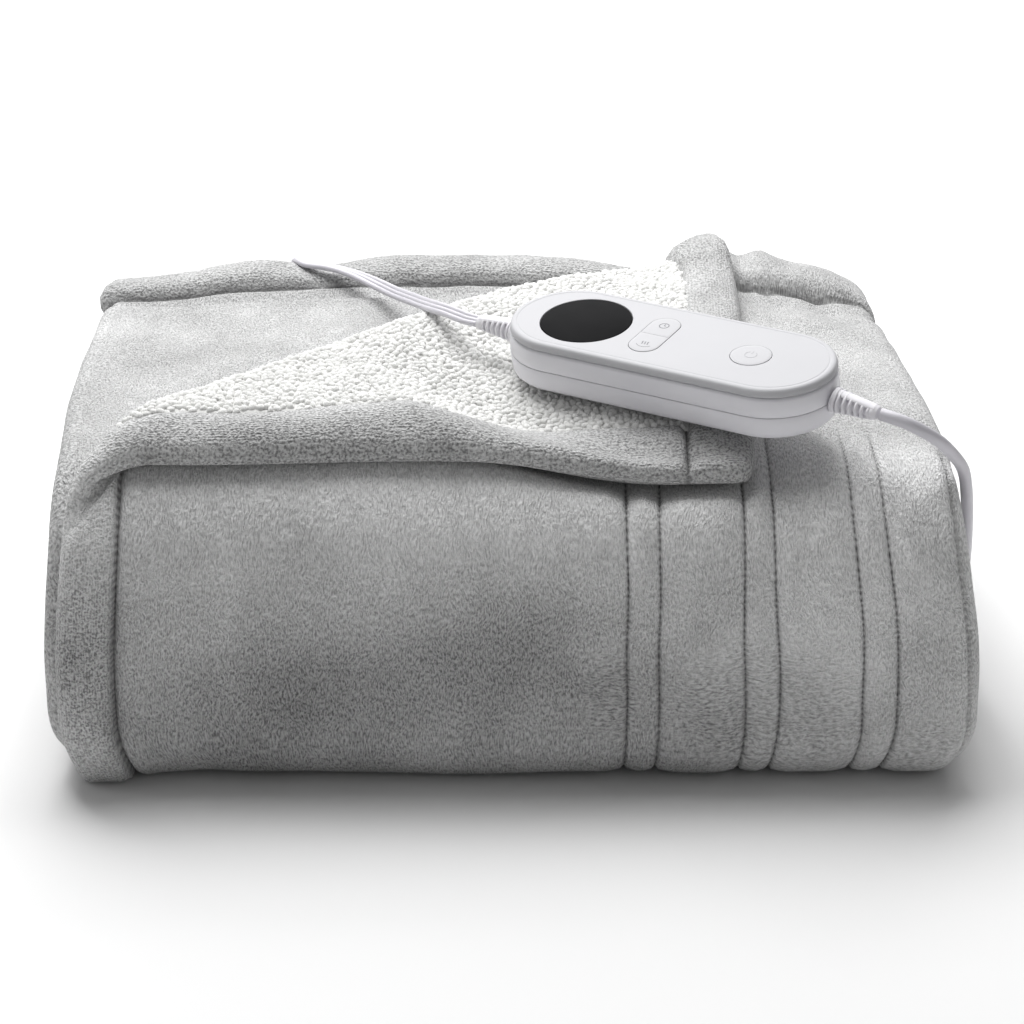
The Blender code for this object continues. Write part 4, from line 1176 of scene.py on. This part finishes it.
# On the hems, tufts in rows along the edge.
speck, tuft, sway = [noisy(tree, place, scale, detail)
                     for scale, detail in ((760.0, 1.5), (900.0, 1.6), (260.0, 1.0))]
rows = maths(tree, "MULTIPLY", hem_at, 2 * math.pi / HEM_RIB)
rows = maths(tree, "SINE", maths(tree, "MULTIPLY_ADD", sway, 9.0, rows))
rows = maths(tree, "MULTIPLY_ADD", rows, 0.05, tuft)
on_hem = mapped(tree, hem_at, HEM_WIDTH + 0.002, HEM_WIDTH - 0.002)
ribbed = add_node(tree, "ShaderNodeMix", {0: on_hem, 2: grain, 3: rows},
                  data_type="FLOAT")
pile = maths(tree, "MULTIPLY_ADD", speck, 0.35, ribbed)
# The greys: the tips of the pile, what lies between them, and the patches over both, which carry
# random tone and painted light and shade.
# The patches' tone adds random patches to the painted light and shade.
patch_and_painted_light_tone = mapped(tree, maths(tree, "ADD", laid, painted_light_at), 0.0, 1.0)
between = mixed(tree, patch_and_painted_light_tone, "#7a7a7a", "#cccccc")
grey = mixed(tree, mapped(tree, pile, 0.48, 0.80), between, "#f2f2f2")
patches_and_painted_light = mixed(tree, patch_and_painted_light_tone, "#b4b4b4", "#ffffff")
shaded = mixed(tree, 1.0, grey, patches_and_painted_light, blend_type="MULTIPLY")
# The stitches, one dark pinch after another.
pinch = add_node(tree, "ShaderNodeSeparateXYZ", {0: swirled}).outputs["Y"]
pinch = maths(tree, "SINE", maths(tree, "MULTIPLY", pinch, 2 * math.pi / STITCH))
parted = maths(tree, "MULTIPLY", sewn_at, mapped(tree, pinch, -1.0, 1.0, 0.35, 0.95))
stitched = mixed(tree, parted, shaded, "#6f6f6f")
# The sherpa side is white, apart from the hem that is turned in over it.
inside = maths(tree, "MULTIPLY", mapped(tree, sherpa_at, 0.4, 0.6),
               mapped(tree, hem_at, HEM_WIDTH, HEM_WIDTH + 0.001))
tree.links.new(mixed(tree, inside, stitched, "#efefed"), shader.inputs["Base Color"])
dented(tree, shader, pile, 1.0, 0.0016)

throw = piece_from(cloth_shell(zone_grids(), throw_sides, lay_cloth), "folded_throw", flannel,
                   smooth_angle=70)

# ---------------------------------------------------------------- sherpa side
# White sherpa, a sheared fleece whose pile is tumbled into small curls. It shows on the turned
# corner, between the two hems and the diagonal fold.
SHERPA_STEP = 0.0022
SHERPA_LAP = 0.0036
SHERPA_RIM = 0.004
SHERPA_RIM_START = 0.0015
SHERPA_SWELL = 0.0008
CURLS_HIGH = 0.0012
CURL_SPACING = 0.0027
CURL_RADIUS = 0.0021
CURL_CRUSH = 0.0016


def sherpa_bmesh():
    """The sherpa's ground as a thin three-cornered mat on the turned corner."""
    start = (HEM_WIDTH - SHERPA_LAP, END_HEM_WIDTH - SHERPA_LAP)
    reach = CORNER_FOLD - ROOT_2 * SHERPA_START - sum(start)
    count = round(reach / SHERPA_STEP)
    step = reach / count
    bm = bmesh.new()
    grown = bm.verts.layers.float.new("curl_ground")
    sides = []
    for top in (True, False):
        rows = []
        for i in range(count + 1):
            row = []
            for j in range(count + 1 - i):
                across, along = start[0] + i * step, start[1] + j * step
                through = -HALF_CLOTH - SHERPA_GAP
                if top:
                    rim = min(i, j, count - i - j) * step
                    full = smooth_step(0.0, SHERPA_RIM, rim + SHERPA_RIM_START)
                    swell = ripple(across, along, 60, 2.0)
                    through -= (SHERPA - CURLS_HIGH + SHERPA_SWELL * swell) * full
                row.append(bm.verts.new(lay_cloth(across + wander(across, along), along, through)))
                # The open ground that the curls grow on is marked, to be painted darker as shade.
                row[-1][grown] = 1.0 if top and rim > 0.0006 else 0.0
            rows.append(row)
        for i in range(count):
            for j in range(count - i):
                corners = [rows[i][j], rows[i + 1][j], rows[i][j + 1]]
                bm.faces.new(corners if not top else corners[::-1])
                if i + j < count - 1:
                    corners = [rows[i + 1][j], rows[i + 1][j + 1], rows[i][j + 1]]
                    bm.faces.new(corners if not top else corners[::-1])
        rim = [rows[i][0] for i in range(count + 1)]
        rim += [rows[count - j][j] for j in range(1, count + 1)]
        rim += [rows[0][j] for j in range(count - 1, 0, -1)]
        sides.append(rim)
    join_rings(bm, *sides)
    return bm


# Sherpa fleece: matt white, its curls too fine to model whole, so a bump carries their fibres.
fleece, tree, shader = new_material("sherpa_fleece", "#e8e8e6", {
    "Roughness": 0.95, "Specular IOR Level": 0.1, "Sheen Weight": 0.35, "Sheen Roughness": 0.5,
    "Subsurface Weight": 0.15, "Subsurface Radius": (0.004, 0.004, 0.004), "Subsurface Scale": 1.0})
place = add_node(tree, "ShaderNodeTexCoord").outputs["Object"]
ground = add_node(tree, "ShaderNodeAttribute", attribute_name="curl_ground").outputs["Fac"]
fibre = noisy(tree, place, 900.0, 3.0, Distortion=1.5)
tone = mixed(tree, fibre, "#dededc", "#ededeb")
# The open ground between the curls is painted darker: painted shade in the gaps.
tree.links.new(mixed(tree, ground, tone, "#dadad8"), shader.inputs["Base Color"])
dented(tree, shader, fibre, 0.5, 0.0008)

# The curls: small tufts spread at an even distance over the ground, each turned, flattened and
# crushed a little differently.
CURL_DENSITY = 900000.0
curls, given = node_group("sherpa_curls", (
    ("Geometry", "NodeSocketGeometry"), ("Spacing", "NodeSocketFloat"),
    ("Radius", "NodeSocketFloat"), ("Crush", "NodeSocketVector"), ("Seed", "NodeSocketInt"),
    ("Fleece", "NodeSocketMaterial")))
ground = add_node(curls, "GeometryNodeInputNamedAttribute", {"Name": "curl_ground"},
                  data_type="FLOAT")
open_ground = add_node(curls, "FunctionNodeCompare", {0: ground.outputs["Attribute"], 1: 0.5},
                       data_type="FLOAT", operation="GREATER_THAN")
spread = add_node(curls, "GeometryNodeDistributePointsOnFaces", {
    "Mesh": given["Geometry"], "Selection": open_ground.outputs["Result"],
    "Distance Min": given["Spacing"], "Density Max": CURL_DENSITY, "Seed": given["Seed"]},
    distribute_method="POISSON").outputs
tuft = add_node(curls, "GeometryNodeMeshUVSphere", {"Segments": 7, "Rings": 4,
                                                    "Radius": given["Radius"]})
twist = add_node(curls, "FunctionNodeRandomValue", {
    0: (-0.5, -0.5, -3.1), 1: (0.5, 0.5, 3.1), "Seed": given["Seed"]}, data_type="FLOAT_VECTOR")
twist = add_node(curls, "FunctionNodeEulerToRotation", {0: twist})
twist = add_node(curls, "FunctionNodeRotateRotation", {
    "Rotation": spread["Rotation"], "Rotate By": twist}, rotation_space="LOCAL")
squash = add_node(curls, "FunctionNodeRandomValue", {
    0: (0.85, 0.60, 0.55), 1: (1.35, 1.00, 0.95), "Seed": 4}, data_type="FLOAT_VECTOR")
tufts = add_node(curls, "GeometryNodeInstanceOnPoints", {
    "Points": spread["Points"], "Instance": tuft.outputs["Mesh"], "Rotation": twist,
    "Scale": squash})
tufts = add_node(curls, "GeometryNodeRealizeInstances", {0: tufts})
wave = add_node(curls, "ShaderNodeTexNoise", {
    "Vector": add_node(curls, "GeometryNodeInputPosition"), "Scale": 430.0})
wave = maths(curls, "SUBTRACT", wave.outputs["Color"], (0.5, 0.5, 0.5), kind=VECTOR)
wave = maths(curls, "MULTIPLY", wave, given["Crush"], kind=VECTOR)
tufts = add_node(curls, "GeometryNodeSetPosition", {"Geometry": tufts, "Offset": wave})
tufts = add_node(curls, "GeometryNodeSetShadeSmooth", {0: tufts})
tufts = add_node(curls, "GeometryNodeRemoveAttribute", {"Geometry": tufts,
                                                        "Name": "curl_ground"})
whole = add_node(curls, "GeometryNodeJoinGeometry", {0: tufts})
curls.links.new(given["Geometry"], whole.inputs[0])
whole = add_node(curls, "GeometryNodeSetMaterial", {"Geometry": whole,
                                                    "Material": given["Fleece"]})
add_node(curls, "NodeGroupOutput", {0: whole})

sherpa = piece_from(sherpa_bmesh(), "sherpa_corner", fleece, smooth_angle=80)
run_nodes(sherpa, curls, {"Spacing": CURL_SPACING, "Radius": CURL_RADIUS, "Crush": (CURL_CRUSH,) * 3,
                          "Seed": 7, "Fleece": fleece})
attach(sherpa, "throw_pack")
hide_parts("sherpa_lining")
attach(throw, "throw_pack")
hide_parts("throw")

# ---------------------------------------------------------------- hand control
# Three moulded shells of satin white plastic, clipped together: a base, a body over a fine parting
# line, and an off-white face plate over a deeper groove. The face plate is coloured darker and the
# shells lighter, as painted shade on the top and painted light on the sides.
BASE_ROWS = (
    # height, how far the outline is drawn in
    (0.0, 0.0058), (0.0003, 0.0042), (0.0011, 0.0025), (0.0022, 0.0013), (0.0038, 0.0006),
    (0.0070, 0.0003), (0.0111, 0.0), (0.0114, 0.0002),
)
BODY_ROWS = (
    (0.0117, 0.0002), (0.0120, 0.0), (0.0160, 0.0002), (0.0190, 0.0005), (0.0200, 0.0009),
    (0.0204, 0.0017),
)
FACE_ROWS = (
    (0.0207, 0.0017), (0.0209, 0.0010), (0.0214, 0.0006), (0.0226, 0.0007), (0.0236, 0.0010),
    (0.0241, 0.0014), (0.0244, 0.0019), (0.0245, 0.0026), (0.0245, 0.0033), (0.02435, 0.0036),
    (0.02430, 0.0039), (0.0245, 0.0044),
)
FACE_TOP = 0.0245
WELL_DEPTH = 0.0026
WELL_ROWS = (
    # how much the outline grows, height
    (0.0003, FACE_TOP), (0.0001, FACE_TOP - 0.0001), (0.0, FACE_TOP - 0.0004),
    (0.0, FACE_TOP - WELL_DEPTH),
)
DISPLAY_X = -0.0420
DISPLAY_RADIUS = 0.0200
POWER_X = 0.0385
POWER_RADIUS = 0.0090
PAIR_X = -0.0080
PAIR_LENGTH = 0.0320
PAIR_WIDTH = 0.0140
KEY_GAP = 0.00016
KEY_PROUD = 0.0003
KEY_THICK = 0.0016


def oblong(length, width, steps=32):
    """The outline of an oblong with round ends, anticlockwise from its lower right."""
    half_run = (length - width) / 2
    points = []
    for centre, start in ((half_run, -math.pi / 2), (-half_run, math.pi / 2)):
        for step in range(steps + 1):
            turn = start + math.pi * step / steps
            points.append((centre + width / 2 * math.cos(turn), width / 2 * math.sin(turn)))
    return points


def shell_rings(rows):
    """A shell's oblong outline at each height."""
    return [[(x, y, z) for x, y in oblong(HANDSET_LENGTH - 2 * draw, HANDSET_WIDTH - 2 * draw)]
            for z, draw in rows]


def pair_outline(draw):
    """The oblong double key's outline, which lies across the hand control."""
    return [(PAIR_X - y, x) for x, y in oblong(PAIR_LENGTH - 2 * draw, PAIR_WIDTH - 2 * draw, 24)]


def face_plate():
    """The face plate with its three wells, each with a softened rim."""
    bm = loft(shell_rings(FACE_ROWS))
    lid = max(bm.faces, key=lambda face: face.calc_center_median().z)
    edges = list(lid.edges)
    bm.faces.remove(lid)
    for outline_of in (lambda grow: disc(DISPLAY_RADIUS + 0.0003 + grow, DISPLAY_X, 96),
                       lambda grow: disc(POWER_RADIUS + grow, POWER_X, 64),
                       lambda grow: pair_outline(-grow)):
        rings = [[bm.verts.new((x, y, z)) for x, y in outline_of(grow)] for grow, z in WELL_ROWS]
        for upper, lower in zip(rings, rings[1:]):
            join_rings(bm, upper, lower)
        bm.faces.new(rings[-1])
        edges += [bm.edges.get((rings[0][index - 1], vert)) for index, vert in enumerate(rings[0])]
    bmesh.ops.triangle_fill(bm, use_beauty=True, use_dissolve=False, edges=edges)
    return bm


# ABS shells, moulded and lightly textured: cool lilac-grey white on the sides, coloured lighter than
# the face as painted light where the sides are in shade.
abs_shell = uneven_material("textured_abs", "#e4e3e8", {"Roughness": 0.36, "IOR": 1.54},
                            (40.0, 2.0), tints=("#e1e0e6", "#e8e7eb"), dent=(0.10, 0.0002),
                            grain=(3000.0, 2.0))

# ABS for the face and the keys: off-white, coloured darker than the shells as painted shade on the
# top, where the overhead light falls most, without the shells' grain and with little shine.
abs_face = uneven_material("polished_abs", "#bebfc2", {
    "Roughness": 0.5, "IOR": 1.54, "Specular IOR Level": 0.10}, (55.0, 3.0),
    tints=("#bcbcbf", "#c1c1c4"), rough=(0.42, 0.50))

for name, rows, node in (("lower_shell", BASE_ROWS, "handset_base"),
                         ("upper_shell", BODY_ROWS, "handset_body")):
    shell = piece_from(loft(shell_rings(rows)), name, abs_shell, HANDSET_FRAME, 50)
    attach(shell, "throw_pack")
    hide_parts(node)
plate = piece_from(face_plate(), "face_plate", abs_face, HANDSET_FRAME, 40)
for face in plate.data.polygons:
    face.use_smooth = face.normal.dot(SEAT_NORMAL) < 0.9999
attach(plate, "throw_pack")
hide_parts("handset_face")

# ---------------------------------------------------------------- display
# A round window of smoke-dark acrylic, pressed flush into its well over a two-digit display
# that is off.
acrylic = uneven_material("smoked_acrylic", "#0d0d0f", {
    "Roughness": 0.5, "IOR": 1.49, "Specular IOR Level": 0.02}, (90.0, 3.0), rough=(0.45, 0.55))
rings = [[(x, y, z) for x, y in disc(DISPLAY_RADIUS - draw, DISPLAY_X, 96)]
         for z, draw in ((FACE_TOP - WELL_DEPTH + 0.0003, 0.0), (FACE_TOP - 0.0003, 0.0),
                         (FACE_TOP - 0.0001, 0.0001), (FACE_TOP, 0.0004))]
window = piece_from(loft(rings), "round_window", acrylic, HANDSET_FRAME, 30)
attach(window, "throw_pack")
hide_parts("display_window")

# ---------------------------------------------------------------- keys
# Moulded key caps that stand a hair proud of the face, with pad-printed marks.
MARK_HIGH = 0.00004
MARK_LINE = 0.00042


def key_rings(outline_of):
    """A key cap's outline from its foot to its softly domed top."""
    top = FACE_TOP + KEY_PROUD
    return [[(x, y, z) for x, y in outline_of(draw)]
            for z, draw in ((top - KEY_THICK, 0.0), (top - 0.00022, 0.0), (top - 0.00014, 0.0003),
                            (top - 0.00005, 0.0009), (top, 0.0018))]


def half_pair(draw, side):
    """One half of the double key's outline: side is 1 at the back and -1 at the front."""
    radius = PAIR_WIDTH / 2 - KEY_GAP - draw
    centre = PAIR_LENGTH / 2 - PAIR_WIDTH / 2
    points = [(radius * math.cos(math.pi * step / 24),
               centre + radius * math.sin(math.pi * step / 24)) for step in range(25)]
    points += [(-radius, KEY_GAP / 2 + draw), (radius, KEY_GAP / 2 + draw)]
    return [(PAIR_X + side * x, side * y) for x, y in points]


def line_strip(points, wide, closed=False):
    """A flat printed line along the points, a hair thick."""
    flat = [Vector((x, y, 0)) for x, y in points]
    rings = []
    last = len(flat) - 1
    for index, point in enumerate(flat):
        before = flat[index - 1] if closed or index else point
        after = flat[(index + 1) % len(flat)] if closed or index < last else point
        side = (after - before).cross(Vector((0, 0, 1))).normalized() * wide / 2
        rise = Vector((0, 0, MARK_HIGH))
        rings.append([point - side, point + side, point + side + rise, point - side + rise])
    return loft(rings, close=closed)


def arc_points(x, y, radius, start, end, steps=40):
    """Points along an arc, from one angle to another in degrees."""
    return [(x + radius * math.cos(math.radians(start + (end - start) * step / steps)),
             y + radius * math.sin(math.radians(start + (end - start) * step / steps)))
            for step in range(steps + 1)]


# Grey pad-printing ink: matt and very thin. The power mark is printed in a paler one.
ink = uneven_material("printed_ink", "#6f6f75", {"Roughness": 0.6}, (1200.0, 2.0),
                      tints=("#66666c", "#7b7b81"))
pale_ink = uneven_material("pale_ink", "#a9a9ad", {"Roughness": 0.6}, (1200.0, 2.0),
                           tints=("#a2a2a6", "#b0b0b4"))

MARK_GAP = 0.00002
KEY_TOP = FACE_TOP + KEY_PROUD + MARK_GAP
MARK_Y = 0.0085
HEAT_WAVE = [(0.00022 * math.sin(step / 12 * 2 * math.pi), -0.0011 + 0.0022 * step / 12)
             for step in range(13)]
HEAT_WAVES = (("heat_wave_left", -0.0013), ("heat_wave_middle", 0.0), ("heat_wave_right", 0.0013))
MARKS = (
    # name, body, points, line width, closed
    ("clock_ring", "timer_key", arc_points(PAIR_X, MARK_Y, 0.0021, 0, 351), MARK_LINE, True),
    ("clock_hands", "timer_key", [(PAIR_X, 0.0099), (PAIR_X, MARK_Y), (PAIR_X + 0.0009, MARK_Y)],
     MARK_LINE, False),
    *[(name, "heat_key", [(PAIR_X + shift + x, y - MARK_Y) for x, y in HEAT_WAVE], MARK_LINE,
       False) for name, shift in HEAT_WAVES],
    ("heat_line", "heat_key", arc_points(PAIR_X, -0.0078, 0.0042, 215, 325), 0.0002, False),
    ("power_ring", "power_key", arc_points(POWER_X, 0.0, 0.0026, 120, 420), MARK_LINE, False),
    ("power_stroke", "power_key", [(POWER_X, 0.0008), (POWER_X, 0.0030)], MARK_LINE, False),
)
for name, outline_of in (("power_key",
                          lambda draw: disc(POWER_RADIUS - KEY_GAP - draw, POWER_X, 64)),
                         ("heat_key", lambda draw: half_pair(draw, -1)),
                         ("timer_key", lambda draw: half_pair(draw, 1))):
    cap = piece_from(loft(key_rings(outline_of)), name + "_cap", abs_face, HANDSET_FRAME, 40)
    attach(cap, name)
    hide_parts(name)
for name, body, points, wide, closed in MARKS:
    mark = piece_from(line_strip(points, wide, closed), name,
                      pale_ink if body == "power_key" else ink,
                      HANDSET_FRAME @ Matrix.Translation((0, 0, KEY_TOP)), 40)
    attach(mark, body)

# ---------------------------------------------------------------- strain reliefs
# Soft white rubber sleeves, moulded onto each cord: ribs joined by a spine on either side, with
# slots between them so that the sleeve bends.
RELIEF_Z = 0.0118
RELIEFS = (
    # node, end of the hand control, how far it droops in degrees
    ("mains_relief", 1, 6),
    ("lead_relief", -1, -2),
)
RELIEF_FLAT = 0.86
RELIEF_CORE = (
    # distance, radius
    (0.0002, 0.0034), (0.0170, 0.0026), (0.0172, 0.0036), (0.0180, 0.0040), (0.0196, 0.0036),
    (0.0206, 0.0031),
)
RELIEF_COLLAR = ((0.0, 0.0058), (0.0004, 0.0062), (0.0020, 0.0062), (0.0024, 0.0058))
RELIEF_SPINE = ((0.0010, 0.0060), (0.0080, 0.0053), (0.0140, 0.0046), (0.0192, 0.0038))
SPINE_HALF = 0.0011
SPINE_WIDER = 0.0026 / SPINE_HALF
RIB_COUNT = 6
RIB_START = 0.0034
RIB_PITCH = 0.0027
RIB_THICK = 0.0013
RIB_RADIUS = 0.0059
RIB_TAPER = 0.0018
RIB_SECTION = (
    # distance as a share of half the rib's thickness, radius as a share of the whole
    (-1, 0.92), (-0.6, 0.985), (0, 1.0), (0.6, 0.985), (1, 0.92),
)


def round_rings(section):
    """Rings round the cord, a little flat, at each distance and radius."""
    return [[(distance, y, z * RELIEF_FLAT) for y, z in disc(radius, steps=32)]
            for distance, radius in section]


def relief_parts():
    """The core, the collar at the hand control, and the spines above and below."""
    parts = [loft(round_rings(RELIEF_CORE)), loft(round_rings(RELIEF_COLLAR))]
    for side in (-1, 1):
        parts.append(loft([[(distance, y * SPINE_WIDER,
                             side * (out * RELIEF_FLAT - SPINE_HALF + z))
                            for z, y in disc(SPINE_HALF, steps=16)]
                           for distance, out in RELIEF_SPINE]))
    return parts


def rib_mesh():
    """One rib of unit radius, with its edges rounded."""
    return loft(round_rings([(RIB_THICK / 2 * share, radius) for share, radius in RIB_SECTION]))


# The ribs repeat along the sleeve and become smaller towards its end.
ribs_along, given = node_group("sleeve_ribs", (
    ("Geometry", "NodeSocketGeometry"), ("Count", "NodeSocketInt"), ("Start", "NodeSocketVector"),
    ("Pitch", "NodeSocketVector"), ("Radius", "NodeSocketFloat"), ("Taper", "NodeSocketFloat"),
    ("Rubber", "NodeSocketMaterial")))
line = add_node(ribs_along, "GeometryNodeMeshLine", {
    "Count": given["Count"], "Start Location": given["Start"], "Offset": given["Pitch"]})
number = add_node(ribs_along, "GeometryNodeInputIndex")
share = maths(ribs_along, "DIVIDE", number, maths(ribs_along, "SUBTRACT", given["Count"], 1.0))
drawn = maths(ribs_along, "MULTIPLY", share, given["Taper"])
radius = maths(ribs_along, "SUBTRACT", given["Radius"], drawn)
scale = add_node(ribs_along, "ShaderNodeCombineXYZ", {"X": 1.0, "Y": radius, "Z": radius})
row = add_node(ribs_along, "GeometryNodeInstanceOnPoints", {
    "Points": line, "Instance": given["Geometry"], "Scale": scale})
row = add_node(ribs_along, "GeometryNodeRealizeInstances", {0: row})
row = add_node(ribs_along, "GeometryNodeSetMaterial", {"Geometry": row,
                                                       "Material": given["Rubber"]})
add_node(ribs_along, "NodeGroupOutput", {0: row})


def joined(parts):
    """Several meshes in one, as one piece."""
    whole = bmesh.new()
    for part in parts:
        mesh = bpy.data.meshes.new("part")
        bmesh.ops.recalc_face_normals(part, faces=part.faces)
        part.to_mesh(mesh)
        part.free()
        whole.from_mesh(mesh)
        bpy.data.meshes.remove(mesh)
    return whole


# Soft PVC, moulded: matt, and a little uneven.
rubber = uneven_material("soft_pvc", "#e2e0e5", {"Roughness": 0.5, "IOR": 1.5}, (260.0, 3.0),
                         tints=("#dddbe1", "#e8e7ea"), dent=(0.2, 0.0003))

for node, side, droop in RELIEFS:
    start = Matrix.Translation((side * (HANDSET_LENGTH / 2 + 0.0003), 0, RELIEF_Z))
    turn = Matrix.Rotation(0 if side > 0 else math.pi, 4, "Z")
    place = HANDSET_FRAME @ start @ turn @ Matrix.Rotation(math.radians(droop), 4, "Y")
    rib = piece_from(rib_mesh(), "rib", rubber)
    run_nodes(rib, ribs_along, {
        "Count": RIB_COUNT, "Start": (RIB_START, 0.0, 0.0), "Pitch": (RIB_PITCH, 0.0, 0.0),
        "Radius": RIB_RADIUS, "Taper": RIB_TAPER, "Rubber": rubber})
    body = joined(relief_parts())
    body.from_mesh(rib.data)
    bpy.data.objects.remove(rib)
    sleeve = piece_from(body, node.replace("relief", "sleeve"), rubber, place, 40)
    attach(sleeve, "throw_pack")
    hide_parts(node)

# ---------------------------------------------------------------- studio
# A plain white sweep under large soft lights, as for a catalogue picture.
floor_mesh = bpy.data.meshes.new("floor")
FLOOR_HALF = 6.0
floor_mesh.from_pydata([(-FLOOR_HALF, -FLOOR_HALF, 0), (FLOOR_HALF, -FLOOR_HALF, 0),
                        (FLOOR_HALF, FLOOR_HALF, 0), (-FLOOR_HALF, FLOOR_HALF, 0)], [], [(0, 1, 2, 3)])
floor = add_object("floor", floor_mesh)
paper, _, _ = new_material("white_sweep", "#eeeeee", {"Roughness": 0.9, "Specular IOR Level": 0.1})
floor_mesh.materials.append(paper)

LIGHTS = (
    # name, place, what it points at, size, watts
    ("overhead", (-0.18, 0.31, 1.32), CAMERA_AIM, 1.0, 23.0),
    ("front_fill", (0.60, -1.80, 0.90), CAMERA_AIM, 1.2, 2.4),
    ("left_fill", (-1.30, -0.40, 0.90), CAMERA_AIM, 1.0, 2.0),
    ("sweep_light", (0.0, 2.4, 1.4), (0.0, 2.1, 0.0), 2.6, 55.0),
)
for name, at, aim, size, watts in LIGHTS:
    lamp = bpy.data.lights.new(name, "AREA")
    lamp.shape = "SQUARE"
    lamp.size = size
    lamp.energy = watts
    light = add_object(name, lamp)
    light.location = at
    light.rotation_euler = (Vector(aim) - Vector(at)).to_track_quat("-Z", "Y").to_euler()
world = bpy.data.worlds.new("studio")
world.use_nodes = True
backdrop = world.node_tree.nodes["Background"]
backdrop.inputs["Color"].default_value = (1, 1, 1, 1)
backdrop.inputs["Strength"].default_value = 0.14
bpy.context.scene.world = world
bpy.context.scene.view_settings.view_transform = "Standard"
